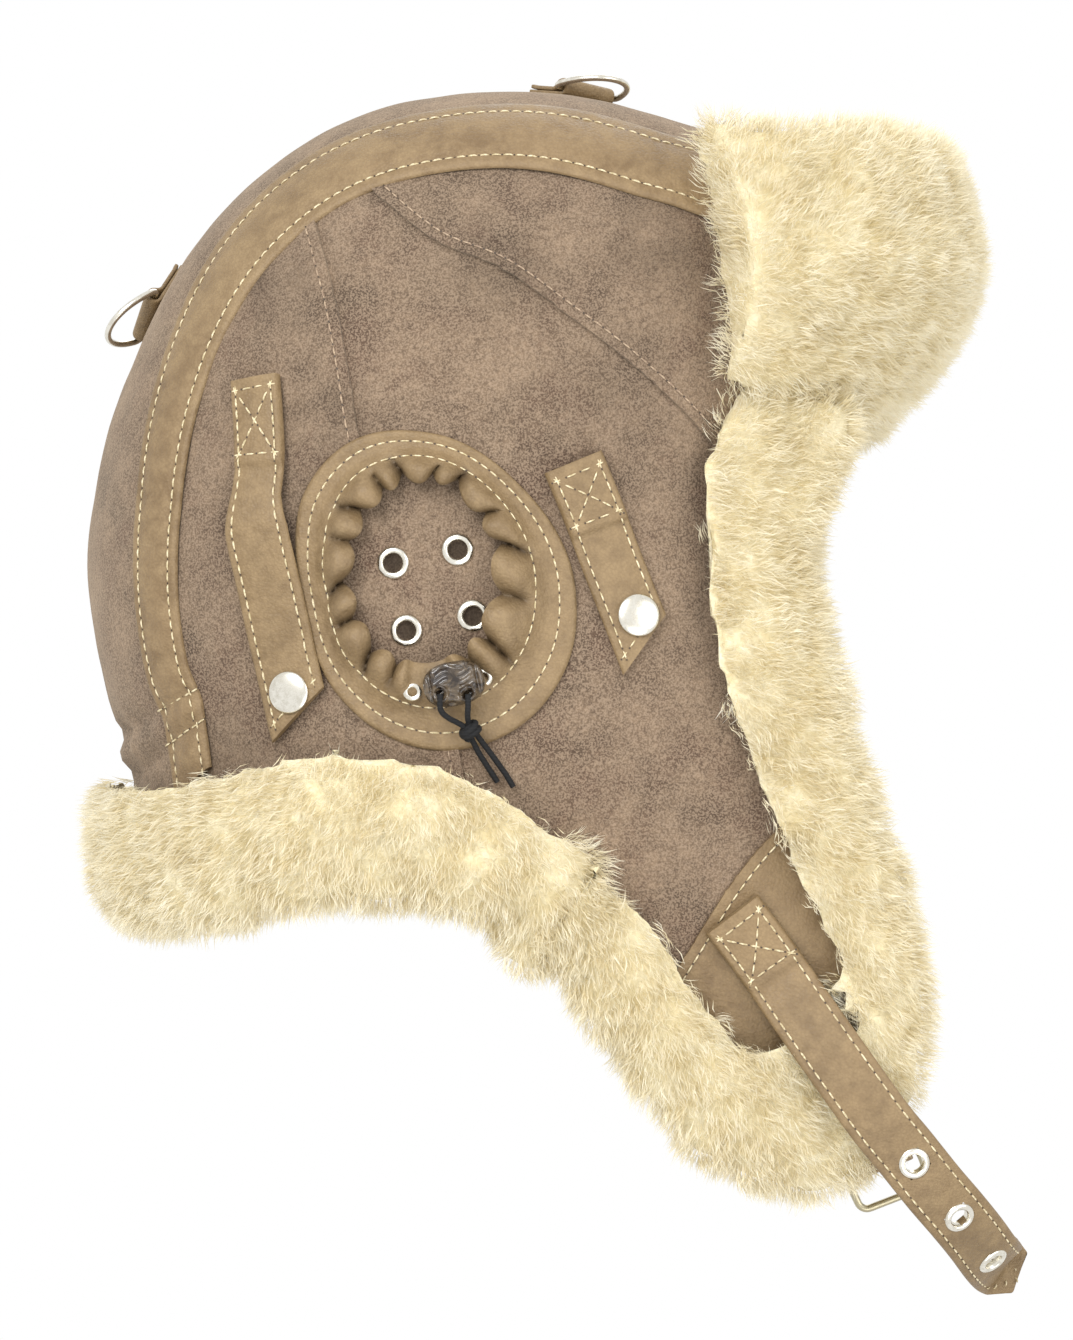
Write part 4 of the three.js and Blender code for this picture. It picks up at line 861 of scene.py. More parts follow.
# Creases of the gathers: angle, width in degrees, depth, lean in degrees over the length, and start
folds = np.array([
    (-57.5, 4.3, 0.9, 6, 0.3), (-39, 3.7, 1, -5, 0.22), (-12, 5.6, 0.85, 4, 0.34), (18, 5.0, 1, -7, 0.26),
    (37.5, 3.7, 0.75, 5, 0.4), (65, 5.6, 1, 8, 0.2), (84, 3.7, 0.8, -4, 0.36), (105, 5.0, 1, 5, 0.26),
    (122, 3.7, 0.8, -6, 0.38), (141, 5.0, 0.95, 4, 0.24), (162, 4.3, 0.8, -8, 0.32), (184, 5.6, 1, 5, 0.22),
    (207, 4.3, 0.9, -5, 0.3), (230, 5.0, 1, 6, 0.24), (250, 3.7, 0.7, -3, 0.36),
])


def pocketRidge(deg, t=1.0):
    # 1 on a fold's crest, 0 down in a crease; the stretch under the cord lock stays plain
    ridge = 1.0
    for angle, width, depth, lean, start in folds:
        gap = np.mod(deg - angle - lean * (1 - t) + 180, 360) - 180
        ridge = ridge * (1 - depth * np.exp(-np.abs(gap / width) ** 1.1) * ease((t - start) / 0.3))
    fromFirst = np.mod(deg - folds[0, 0], 360) + folds[0, 0]
    plain = ease((fromFirst - 254) / 8) * ease((294 - fromFirst) / 8)
    return ridge * (1 - plain) + 0.85 * plain, plain


def pocketPlace(deg, t):
    # side-view place and height at a share t from the sewn edge to the rim
    p = pocket
    deg, t = np.broadcast_arrays(np.asarray(deg, float), np.asarray(t, float))
    ridge, plain = pocketRidge(deg, t)
    turn = np.radians(deg)
    push = p["scallop"] * (0.75 - ridge) * ease((t - 0.46) / 0.4)
    rimX = p["openingX"] + (p["halfWidth"] + push) * np.cos(turn)
    rimZ = p["openingZ"] + (p["halfHeight"] + push) * np.sin(turn)
    rim = ear + np.stack([rimX, rimZ], -1)
    outer = pocketEdge(deg, 1)
    roll = np.where(t > 0.93, 0.93 - (t - 0.93) * 1.2, t) / 0.93
    places = outer + (rim - outer) * roll[..., None]
    up = ease((t - 0.27) / 0.45)
    down = np.clip((t - 0.72) / 0.28, 0, 1)
    crest = p["rise"] * (1 - 0.3 * plain) * up * np.sqrt(np.maximum(0.0, 1 - 0.86 * down**2.2))
    fold = 1 - p["foldDepth"] * (1 - ridge)
    height = 0.4 + crest * fold
    height -= 0.35 * bell(t - p["stitchAt"][0], 0.05) + 0.3 * bell(t - p["stitchAt"][1], 0.06)
    return places, height


def earPocket(side):
    # gathered leather ring, with painted shade down in the creases of its gathers
    p, hand = pocket, hands[side]
    deg = (np.arange(p["around"]) * 360 / p["around"])[:, None]
    t = np.linspace(0, 1, p["across"])[None]
    places, height = pocketPlace(deg, t)
    skin = onSide(places[..., 0], places[..., 1], side)
    plain = pocketRidge(deg)[1]
    pull = ease((t - 0.3) / 0.4) * (1 - 0.6 * plain)
    height = height + pull * (0.8 * rumple(skin, 6.5, side + 50) + 0.4 * rumple(skin, 3, side + 52))
    normal = outward(skin)
    hem = 1 - 0.5 * bell(t, 0.02)
    top = skin + normal * (height + p["leather"] * hem)[..., None]
    quads = gridQuads(p["around"], p["across"], loopRows=True)
    under = skin + normal * height[..., None]
    piece = wallMesh(f"ear_pocket_leather_{hand}", top, under, quads, strapNappa, sharp=75)
    # painted shade: darker down in each crease, kept in the "fold" attribute
    creaseShade = (0.95 * (1 - pocketRidge(deg, t)[0]) ** 2 * ease((t - 0.3) / 0.3)).ravel()
    paint(piece, "fold", top, creaseShade)
    settle(piece, [f"ear_pocket_{hand}"])
    for share in p["stitchAt"]:
        around = np.linspace(0, 360, 361)
        places, height = pocketPlace(around, share)
        run = onSide(places[:, 0], places[:, 1], side)
        sew(side, run, outward(run), height + p["leather"] + 0.05)


# Leather band over the seam between the strip and the sides
band = dict(fromDeg=24, toDeg=207, rows=300, seat=0.4, leather=1.5, puff=0.7, stitchAt=(0.16, 0.84))
bandEdges = np.array([
    (0, 0.93, 0.8), (50, 0.943, 0.796), (92, 0.945, 0.802), (127, 0.938, 0.795), (155, 0.895, 0.765),
    (180, 0.852, 0.735), (196, 0.862, 0.752), (215, 0.86, 0.75), (300, 0.9, 0.78),
])
outerAt = roundCurve(bandEdges[:, 0], bandEdges[:, 1])
innerAt = roundCurve(bandEdges[:, 0], bandEdges[:, 2])


def bandTop(deg, f, side):
    deg, f = np.broadcast_arrays(np.asarray(deg, float), np.asarray(f, float))
    reach = reachAt(deg) * (outerAt(deg) + (innerAt(deg) - outerAt(deg)) * f)
    skin = onSide(sideX(reach * np.cos(np.radians(deg))), sideZ(reach * np.sin(np.radians(deg))), side)
    edge = np.minimum(f, 1 - f)
    height = band["seat"] + band["leather"] * (0.55 + 0.45 * np.sqrt(np.clip(edge / 0.07, 0, 1)))
    height += band["puff"] * np.sin(np.pi * f) - 0.45 * sum(bell(f - at, 0.05) for at in band["stitchAt"])
    height += 0.5 * channelHeight(deg, 40 * f) * ease(np.sin(np.pi * f) * 2)
    return skin, height


def trimBand(side):
    hand = hands[side]
    deg = np.linspace(band["fromDeg"], band["toDeg"], band["rows"])[:, None]
    f = np.array([0, 0.02, 0.06, 0.11, 0.16, 0.22, 0.35, 0.5, 0.65, 0.78, 0.84, 0.89, 0.94, 0.98, 1])[None]
    skin, height = bandTop(deg, f, side)
    normal = outward(skin)
    ripple = 0.45 * rumple(skin * np.array([1, 1, 1.6]), 11, side + 60) + 0.2 * rumple(skin, 4.5, side + 61)
    height = height + ripple * np.sin(np.pi * f)
    top = skin + normal * height[..., None]
    under = skin + normal * (band["seat"] * np.ones_like(height))[..., None]
    piece = wallMesh(f"trim_band_leather_{hand}", top, under, gridQuads(*height.shape), nappa, sharp=60)
    settle(piece, [f"trim_band_{hand}"])
    runs = [(deg[:, 0], np.full(band["rows"], at)) for at in band["stitchAt"]]
    across = np.linspace(0.04, 0.96, 12)
    for turn in (strip["channelDeg"] - strip["channelHalf"], strip["channelDeg"] + strip["channelHalf"]):
        runs.append((np.full(12, turn), across))
    for degs, shares in runs:
        skin, height = bandTop(degs, shares, side)
        sew(side, skin, outward(skin), height + 0.12)


for side in hands:
    earDisc(side)
    earPocket(side)
    trimBand(side)
print("stage: ears and bands")


# Straps: flat leather on a line of frames, folded over at its sewn end
def fromPhoto(pixels, side):
    # photo pixels of the shown side, put on the skin
    c = cameraSettings
    pixels = np.asarray(pixels, float)
    perPixel = c["frameHeight"] / 1340
    y = np.full(len(pixels), -85.0)
    for _ in range(4):
        depth = (c["distance"] + y) / c["distance"] * perPixel
        x, z = (pixels[:, 0] - 536.5) * depth + c["x"], (670 - pixels[:, 1]) * depth + c["z"]
        y = onSide(x, z, right)[:, 1]
    return onSide(x, z, side)


def skinFrames(line, side, seat):
    # frames of a strap that lies on the skin: +across is towards the face
    ahead = unit(np.gradient(line, axis=0))
    up = outward(line)
    across = unit(np.cross(up, ahead)) * side
    return line + up * np.broadcast_to(seat, len(line))[:, None], across, up


halfShares = np.array([0.4, 0.68, 0.78, 0.87, 0.94, 0.985, 1])
strapShares = np.r_[-halfShares[::-1], 0, halfShares]


class Strap:
    def __init__(self, frames, s):
        self.p, self.across, self.up = frames
        self.steps = np.r_[0, np.cumsum(np.linalg.norm(np.diff(self.p, axis=0), axis=1))]
        self.length, self.s = self.steps[-1], s

    def at(self, s, f, height):
        s, f, height = np.broadcast_arrays(s, f, height)
        pick = lambda a: np.stack([np.interp(s, self.steps, a[:, k]) for k in range(3)], -1)
        half = np.interp(s / self.length, *self.s["halfWidth"])
        up, across = unit(pick(self.up)), unit(pick(self.across))
        over = np.maximum(s - self.length, 0)[..., None] * unit(self.p[-1] - self.p[-2])
        return pick(self.p) + over + across * (f * half)[..., None] + up * height[..., None]

    def top(self, s, f):
        c = self.s
        edge = np.sqrt(np.clip((1 - np.abs(f)) / 0.1, 0, 1))
        fold = c["fold"] * (1 - ease((s - c["box"]) / 1.6))
        crown = 0.25 * (1 - f**2) - 0.3 * bell(np.abs(f) - 0.78, 0.07)
        return c["leather"] * (0.5 + 0.5 * edge) + fold * (0.4 + 0.6 * edge) + crown * edge

    def grid(self, count=90):
        t = np.linspace(0, 1, count)[:, None]
        f = strapShares[None]
        s = self.s["startCut"] * (1 + f) / 2 * (1 - t) + (self.length + self.s["endCut"] * (f - 1) / 2) * t
        height = self.top(s, f)
        grain = 0.18 * rumple(self.at(s, f, 0.0), 7, 70)
        bottom = 0.45 * self.s["leather"] * (1 - np.sqrt(np.clip((1 - np.abs(f)) / 0.1, 0, 1)))
        return self.at(s, f, height + grain), self.at(s, f, np.broadcast_to(bottom, s.shape))

    def stitchLine(self, start, end, count=30):
        # from one (distance, share) to another, on the top
        s = np.linspace(start[0], end[0], count)
        f = np.linspace(start[1], end[1], count)
        height = self.top(s, f) + 0.1
        line = self.at(s, f, height)
        return line, unit(self.at(s, f, height + 1) - line)

    def seamRuns(self):
        # both edges, and the box with its cross
        c = self.s
        last, inset, box = self.length, c["endCut"], c["box"]
        low, high, edge = 3.2, box - 2.2, 0.74
        runs = [
            self.stitchLine((low, -edge), (last - inset * 0.9 - 3.5, -edge), 60),
            self.stitchLine((low, edge), (last - 3.5 - inset * 0.15, edge), 60),
            self.stitchLine((low, -edge), (low, edge)), self.stitchLine((high, -edge), (high, edge)),
            self.stitchLine((low, -edge), (high, edge)), self.stitchLine((low, edge), (high, -edge)),
        ]
        if inset:
            runs.append(self.stitchLine((last - inset * 0.9 - 3.5, -edge), (last - 3.5 - inset * 0.15, edge)))
        return runs


goggleStraps = dict(
    rear=dict(
        line=[(259, 380), (262, 430), (263, 470), (261, 500), (262, 530), (269, 570), (279, 620), (290, 670),
              (305, 735)],
        halfWidth=([0, 0.32, 0.42, 1], [7.9, 7.9, 10, 10.2]), seat=[0.6, 0.6, 3.4, 1.2, 0.6, 0.6],
        box=25, fold=1.5, leather=2.2, startCut=-1, endCut=12, stud=(294, 692),
    ),
    front=dict(
        line=[(572, 462), (592, 512), (612, 566), (632, 616), (651, 664)],
        halfWidth=([0, 1], [9.1, 9.3]), seat=[0.6, 0.6, 0.6, 0.6, 0.6, 0.6],
        box=20, fold=1.5, leather=2.2, startCut=-1, endCut=12, stud=(636, 616.5),
    ),
)


def goggleStrap(which, side):
    s, hand = goggleStraps[which], hands[side]
    line = smoothPath(fromPhoto(s["line"], side), 90)
    seat = np.interp(np.linspace(0, 1, 90), np.linspace(0, 1, 6), s["seat"])
    strap = Strap(skinFrames(line, side, seat), s)
    top, under = strap.grid()
    quads = gridQuads(*top.shape[:2])
    piece = wallMesh(f"{which}_goggle_strap_{hand}", top, under, quads, strapNappa, sharp=60)
    settle(piece, [f"{which}_strap_{hand}"])
    stitchRuns[side] += strap.seamRuns()
    x, _, z = fromPhoto([s["stud"]], side)[0]
    place = skinBasis(x, z, side, 0.6 + s["leather"] + 0.15)
    outline = studOutline(metal["studRadius"], metal["studHeight"])
    stud = turned(f"{which}_stud_{hand}", outline, metal["studSegments"], [place], nickel)
    settle(stud, [f"{which}_snap_{hand}"])


for side in hands:
    for which in goggleStraps:
        goggleStrap(which, side)
print("stage: goggle straps")


# Chin strap on the right flap and buckle strap on the left: shares along, up and out of the middle
chinLine = [
    (0.703, -0.553, 0.915), (0.804, -0.629, 0.89), (0.878, -0.69, 0.92), (0.99, -0.78, 0.945),
    (1.1, -0.866, 0.91), (1.16, -0.907, 0.86), (1.235, -0.96, 0.81), (1.3, -1.003, 0.735),
    (1.353, -1.04, 0.63), (1.396, -1.073, 0.505), (1.418, -1.088, 0.38), (1.427, -1.092, 0.265),
    (1.418, -1.087, 0.215), (1.402, -1.078, 0.2),
]
buckleLine = [*chinLine[:3], (0.985, -0.775, 0.945), (1.085, -0.86, 0.9), (1.14, -0.94, 0.9)]
chinSettings = dict(
    halfWidth=([0, 1], [9.6, 9.6]), box=22, fold=1.5, leather=2.4, startCut=-1.0, endCut=0,
    eyelets=(0.56, 0.7, 0.86), cadRows=12, eyeletSeat=2.45,
)


def hangingPath(line, side, count):
    return smoothPath([(sideX(a), side * out * body["halfBreadth"], sideZ(up)) for a, up, out in line], count)


def freeFrames(line, side):
    points = hangingPath(line, side, 160)
    ahead = unit(np.gradient(points, axis=0))
    flat = unit(np.stack([-ahead[:, 2], np.zeros(len(ahead)), ahead[:, 0]], -1)) * -side
    up = unit(np.cross(ahead, flat)) * side * -1
    up = np.where((up[:, 1] * side < 0)[:, None] & (np.arange(len(up)) < 20)[:, None], -up, up)
    return points, flat, up


def chinStrap():
    s = chinSettings
    strap = Strap(freeFrames(chinLine, right), s)
    top, under = strap.grid(150)
    quads = gridQuads(*top.shape[:2])
    cadLength = runLength(freeFrames(chinLine[: s["cadRows"]], right)[0])
    spots = [share * cadLength for share in s["eyelets"]]
    middle = top.reshape(-1, 3)[quads].mean(1)
    centres = np.array([strap.at(spot, 0.0, s["leather"]) for spot in spots])
    holes = np.min(np.linalg.norm(middle[:, None] - centres, axis=-1), axis=-1) < metal["eyeletBore"] + 0.9
    piece = wallMesh("chin_strap_leather", top, under, quads[~holes], strapNappa, sharp=60)
    settle(piece, ["chin_strap"])
    stitchRuns[right] += strap.seamRuns()
    for i, spot in enumerate(spots):
        origin, beyond = strap.at(spot, 0.0, 0.0), strap.at(spot, 0.0, 1.0)
        up = beyond - origin
        across = unit(strap.at(spot, 0.5, 0.0) - origin)
        place = basis(across, np.cross(up, across), up, origin + up * s["eyeletSeat"])
        eyelet(f"chin_eyelet_{i + 1}", place, shank=s["leather"])


def buckleStrap():
    strap = Strap(freeFrames(buckleLine, left), chinSettings)
    top, under = strap.grid(70)
    piece = wallMesh("buckle_strap_leather", top, under, gridQuads(*top.shape[:2]), strapNappa, sharp=60)
    settle(piece, ["buckle_strap"])
    stitchRuns[left] += strap.seamRuns()


chinStrap()
buckleStrap()
print("stage: chin straps")


# Wool: a soft body with thousands of small locks, each a few curled fibres that run together
locks = dict(
    fibres=13, kinds=6, length=8.6, root=3.2, width=0.32, curl=0.9, perSquareCm=15.5, wander=0.7, swirl=90,
    droop=0.16, comb=0.55, voxel=3.1, smoothing=11,
)
# More wool where a flap meets the visor, and where it meets the nape: x, out, z and radius
flapFill = [
    (111.8, 60, -93.4, 15), (106, 60, -108, 14), (103, 60, -122.7, 12), (96, 67, -86, 11), (90, 72, -92, 10),
    (94, 68, -100, 11), (96, 66, -112, 10),
]
napeFill = [
    (42, 85, -221, 9), (40, 84, -229, 10), (46, 85, -231, 9), (52, 85, -238, 9), (34, 82, -238, 10),
    (28, 80, -246, 10),
]
woolPieces = dict(
    fur_visor=dict(name="visor_wool", shrink=3.6, seed=3, density=1, fill=[], sides=()),
    fur_flap_right=dict(name="flap_wool_right", shrink=3.4, seed=5, density=1, fill=flapFill, sides=(right,)),
    fur_flap_left=dict(name="flap_wool_left", shrink=3.4, seed=6, density=0.6, fill=flapFill, sides=(left,)),
    fur_nape=dict(name="nape_wool", shrink=3.4, seed=8, density=0.9, fill=napeFill, sides=(right, left)),
)


def lockObject(kind):
    # one lock: flat fibres whose tips lean together
    s = locks
    draw = np.random.default_rng(100 + kind)
    points, faces, tips = [], [], []
    lean = draw.uniform(-1, 1, 2) * 1.4
    for _ in range(s["fibres"]):
        root = draw.normal(0, s["root"] / 2, 2)
        tip = root * 0.7 + lean + draw.normal(0, 0.7, 2)
        length = s["length"] * draw.uniform(0.72, 1.05)
        turn, phase = draw.uniform(0, math.pi), draw.uniform(0, 2 * math.pi)
        flat = np.array([math.cos(turn), math.sin(turn), 0])
        start = len(points)
        for t, half in ((0, 0), (0.5, -s["width"] / 2), (0.5, s["width"] / 2), (1, 0)):
            sway = s["curl"] * t * np.array([math.sin(phase + 3.6 * t), math.cos(phase + 3.6 * t)])
            place = np.array([*(root + (tip - root) * t**1.3 + sway), length * (t - 0.12 * t * t)])
            points.append(place + flat * half)
            tips.append(t)
        faces += [(start, start + 1, start + 2), (start + 1, start + 3, start + 2)]
    return pattern(f"lock_{kind}", points, faces, "tip", tips)


def pattern(name, points, faces, attribute, values):
    # an object that node trees repeat
    mesh = bpy.data.meshes.new(name)
    mesh.from_pydata((np.array(points) * mm).tolist(), [], faces)
    store(mesh, attribute, values)
    return bpy.data.objects.new(name, mesh)


def newTree(name, inputs):
    tree = bpy.data.node_groups.new(name, "GeometryNodeTree")
    tree.interface.new_socket("Geometry", in_out="INPUT", socket_type="NodeSocketGeometry")
    for label, kind in inputs.items():
        tree.interface.new_socket(label, in_out="INPUT", socket_type=kind)
    tree.interface.new_socket("Geometry", in_out="OUTPUT", socket_type="NodeSocketGeometry")
    return tree, tree.nodes.new("NodeGroupInput").outputs


def finishTree(tree, instances, material):
    real = addNode(tree, "GeometryNodeRealizeInstances", {"Geometry": instances})
    painted = addNode(tree, "GeometryNodeSetMaterial", {"Geometry": real.outputs[0], "Material": material})
    addNode(tree, "NodeGroupOutput", {"Geometry": painted.outputs[0]})


def runTree(name, source, tree, values):
    modifier = source.modifiers.new(tree.name, "NODES")
    modifier.node_group = tree
    for item in tree.interface.items_tree:
        if item.in_out == "INPUT" and item.name in values:
            modifier[item.identifier] = values[item.name]
    mesh = applied(source)
    source.modifiers.remove(modifier)
    return show(name, mesh)


def applied(source):
    # the object's mesh after its modifiers
    graph = bpy.context.evaluated_depsgraph_get()
    seen = source.evaluated_get(graph)
    return bpy.data.meshes.new_from_object(seen, preserve_all_data_layers=True, depsgraph=graph)


def named(tree, name, kind):
    return addNode(tree, "GeometryNodeInputNamedAttribute", {"Name": name}, data_type=kind).outputs[0]


def drawn(tree, low, high, seed):
    # a random number for each point
    limits = {2: low, 3: high, "Seed": seed}
    return addNode(tree, "FunctionNodeRandomValue", limits, data_type="FLOAT").outputs[1]


def vectorStep(tree, kind, links):
    return addNode(tree, "ShaderNodeVectorMath", links, operation=kind).outputs[0]


def lockTree():
    # scatters locks on a wool body: they lean off its normal in slow swirls
    tree, given = newTree("wool_locks", {
        "Density": "NodeSocketFloat", "Seed": "NodeSocketInt", "Wander": "NodeSocketFloat",
        "Swirl": "NodeSocketFloat", "Kinds": "NodeSocketCollection", "Material": "NodeSocketMaterial",
    })
    cover = {0: given["Density"], 1: named(tree, "cover", "FLOAT")}
    density = addNode(tree, "ShaderNodeMath", cover, operation="MULTIPLY").outputs[0]
    spots = addNode(tree, "GeometryNodeDistributePointsOnFaces", {
        "Mesh": given["Geometry"], "Density": density, "Seed": given["Seed"],
    })
    position = addNode(tree, "GeometryNodeInputPosition").outputs[0]
    swirl = addNode(tree, "ShaderNodeTexNoise", {"Vector": position, "Scale": given["Swirl"], "Detail": 2.0})
    centred = vectorStep(tree, "SUBTRACT", {0: swirl.outputs["Color"], 1: (0.5, 0.5, 0.5)})
    wander = vectorStep(tree, "SCALE", {0: centred, "Scale": given["Wander"]})
    leaning = vectorStep(tree, "ADD", {0: spots.outputs["Normal"], 1: wander})
    combed = vectorStep(tree, "ADD", {0: leaning, 1: named(tree, "comb", "FLOAT_VECTOR")})
    stand = addNode(tree, "FunctionNodeAlignRotationToVector", {"Vector": combed}, axis="Z")
    spin = {"Axis": (0, 0, 1), "Angle": drawn(tree, 0, 2 * math.pi, 11)}
    about = addNode(tree, "FunctionNodeAxisAngleToRotation", spin)
    turn = addNode(tree, "FunctionNodeRotateRotation", {
        "Rotation": stand.outputs[0], "Rotate By": about.outputs[0],
    }, rotation_space="LOCAL")
    kinds = addNode(tree, "GeometryNodeCollectionInfo", {
        "Collection": given["Kinds"], "Separate Children": True, "Reset Children": True,
    })
    coat = addNode(tree, "GeometryNodeInstanceOnPoints", {
        "Points": spots.outputs["Points"], "Instance": kinds.outputs[0], "Pick Instance": True,
        "Rotation": turn.outputs[0], "Scale": drawn(tree, 0.7, 1.15, 12),
    })
    shaded = addNode(tree, "GeometryNodeStoreNamedAttribute", {
        "Geometry": coat.outputs[0], "Name": "shade", "Value": drawn(tree, 0, 1, 13),
    }, data_type="FLOAT", domain="INSTANCE")
    finishTree(tree, shaded.outputs[0], given["Material"])
    return tree


def woolBody(node, s):
    # the node's form, rounded and lumped, with where its locks stand and lean
    source = frame["nodes"][node]
    work = bmesh.new()
    work.from_mesh(source.data)
    bmesh.ops.remove_doubles(work, verts=work.verts, dist=1e-6)
    for side in s["sides"]:
        for x, out, z, radius in s["fill"]:
            place = Matrix.Translation(Vector((x, side * out, z)) * mm)
            bmesh.ops.create_icosphere(work, subdivisions=3, radius=radius * mm, matrix=place)
    mesh = bpy.data.meshes.new(s["name"])
    work.to_mesh(mesh)
    work.free()
    rough = show("rough", mesh)
    remesh = rough.modifiers.new("remesh", "REMESH")
    remesh.mode, remesh.voxel_size, remesh.use_smooth_shade = "VOXEL", locks["voxel"] * mm, True
    soften = rough.modifiers.new("soften", "SMOOTH")
    soften.factor, soften.iterations = 0.5, locks["smoothing"]
    mesh = applied(rough)
    bpy.data.objects.remove(rough)
    count = len(mesh.vertices)
    points, normals = np.empty(count * 3, np.float32), np.empty(count * 3, np.float32)
    mesh.vertices.foreach_get("co", points)
    mesh.vertex_normals.foreach_get("vector", normals)
    points, normals = points.reshape(-1, 3) / mm, normals.reshape(-1, 3)
    lumps = 1.7 * rumple(points, 17, s["seed"]) + 1.1 * rumple(points, 8, s["seed"] + 1)
    points = points + normals * (lumps - s["shrink"])[:, None]
    mesh.vertices.foreach_set("co", (points * mm).astype(np.float32).ravel())
    facing = (outward(points.astype(float)) * normals).sum(-1)
    gap = np.abs(level(points.astype(float))) * 45
    hidden = ease((-facing - 0.25) / 0.4) * ease((22 - gap) / 6)
    store(mesh, "cover", 1 - hidden)
    away = unit(points[:, [0, 2]] - ear) * locks["comb"]
    comb = np.stack([away[:, 0], 0 * away[:, 0], away[:, 1] - locks["droop"]], -1)
    store(mesh, "comb", comb, "FLOAT_VECTOR")
    mesh.materials.clear()
    mesh.materials.append(fleece)
    return show(f"{s['name']}_body", mesh)


kinds = bpy.data.collections.new("lock_kinds")
for kind in range(locks["kinds"]):
    kinds.objects.link(lockObject(kind))
woolTree = lockTree()
for node, s in woolPieces.items():
    base = woolBody(node, s)
    density = locks["perSquareCm"] * s["density"] * 1e4
    coat = runTree(f"{s['name']}_locks", base, woolTree, {
        "Density": density, "Seed": s["seed"], "Wander": locks["wander"], "Swirl": float(locks["swirl"]),
        "Kinds": kinds, "Material": wool,
    })
    settle(base, [node])
    settle(coat)
    print("stage:", s["name"], len(coat.data.polygons), "faces")
for kind in list(kinds.objects):
    bpy.data.objects.remove(kind)
bpy.data.collections.remove(kinds)


# Elastic draw cord of the ear pocket: points ahead of the ear line's middle, out from the side, and up
cordSettings = dict(
    diameter=1.7, lengths=(33.9, 33.6), knotAt=(7, 6), knotRadius=1.05, knotTurns=2.6, knotSize=(2.5, 2.9),
)
cordRoutes = [
    [(-6.3, 11.1, -45.1), (-6.3, 11.1, -47.1), (-6.3, 11.1, -49.1), (-5.6, 10.8, -50.6), (-3.8, 10, -52.1),
     (-1.5, 8.9, -53.3), (0.4, 7.9, -54.5), (1.5, 7.1, -56.2), (2.6, 6.2, -57.9), (3.7, 5.1, -59.9),
     (4.9, 3.9, -62.3), (6.4, 2.7, -64.7), (7.9, 1.7, -67.1), (9.3, 1.1, -69.2), (10.3, 0.7, -70.8)],
    [(1.8, 11.1, -45.1), (1.8, 11.1, -47.1), (1.8, 11.1, -49.1), (1.7, 10.5, -50.6), (1.7, 9.4, -52),
     (2, 7.9, -53.4), (3.1, 7.1, -55.1), (4.2, 6.2, -56.8), (5.7, 5.1, -58.9), (7.6, 3.8, -61.4),
     (9.5, 2.7, -64), (11.3, 1.7, -66.5), (12.9, 1.1, -68.8), (14.2, 0.7, -71), (14.9, 0.5, -72.2)],
]


def cordPlace(point, side):
    ahead, out, up = point
    return np.array([centreX + ahead, side * (body["halfBreadth"] + out), centreZ + up])


def earCords(side):
    s, hand = cordSettings, hands[side]
    routes = [np.array([cordPlace(point, side) for point in route]) for route in cordRoutes]
    first, second = s["knotAt"]
    middle = (routes[0][first] + routes[1][second]) / 2
    down = unit(routes[0][first + 2] - routes[0][first - 2])
    over = unit(np.cross(down, [0, -side, 0]))
    out = np.cross(over, down)
    # the knot: one cord wound round both
    turn = np.linspace(0, 1, 70)
    angle = 2 * math.pi * s["knotTurns"] * turn
    wide, deep = s["knotSize"]
    reach = wide * (0.8 + 0.2 * np.sin(math.pi * turn))
    along = deep * (turn - 0.5) + 0.5 * np.sin(angle * 0.5 + 1)
    steps = np.stack([reach * np.cos(angle), 0.8 * reach * np.sin(angle), along], -1)
    coil = middle + steps @ np.array([over, out, down])
    knot = tube(f"cord_knot_wound_{hand}", coil, s["knotRadius"], 10, elastic)
    core = tube(f"core_{hand}", middle + down * np.linspace(-1.9, 1.9, 6)[:, None], 1.9, 12, elastic)
    joined = bmesh.new()
    joined.from_mesh(knot.data)
    joined.from_mesh(core.data)
    joined.to_mesh(knot.data)
    joined.free()
    bpy.data.objects.remove(core)
    settle(knot, [f"cord_knot_{hand}"])
    for i, route in enumerate(routes):
        line = bpy.data.curves.new(f"ear_cord_line_{hand}_{i + 1}", "CURVE")
        line.dimensions, line.bevel_depth, line.bevel_resolution = "3D", s["diameter"] / 2 * mm, 4
        line.use_fill_caps = True
        path = smoothPath(route, 60) * mm
        spline = line.splines.new("POLY")
        spline.points.add(len(path) - 1)
        spline.points.foreach_set("co", np.c_[path, np.ones(len(path))].ravel())
        spline.use_smooth = True
        line.materials.append(elastic)
        cord = show(f"ear_cord_elastic_{hand}_{i + 1}", line)
        settle(cord, [f"ear_cord_{hand}_{i + 1}"])


# Cord lock: a flat barrel of smoky plastic with a rippled face and two ringed holes, and the cord's eyelets
cordLock = dict(
    halfWidth=9, halfHeight=6.5, tilt=12, square=2.5, backOut=4.6, faceOut=8.6, bulge=2.6, ring=2.1,
    ringHeight=0.85, bore=1.15, boreDepth=1.6, wave=0.32, lugAt=6.9, lugDepth=0.9, centre=(-2.3, 0, -42.1),
    columns=120, eyeletRadius=2.9, eyeletBore=1.2, eyeletShank=0.8,
)


def pocketHeightNear(x, z):
    deg, t = np.linspace(0, 358, 180)[:, None], np.linspace(0.1, 0.95, 40)[None]
    places, height = pocketPlace(deg, t)
    gap = np.hypot(places[..., 0] - x, places[..., 1] - z)
    return height.ravel()[np.argmin(gap)] + pocket["leather"]


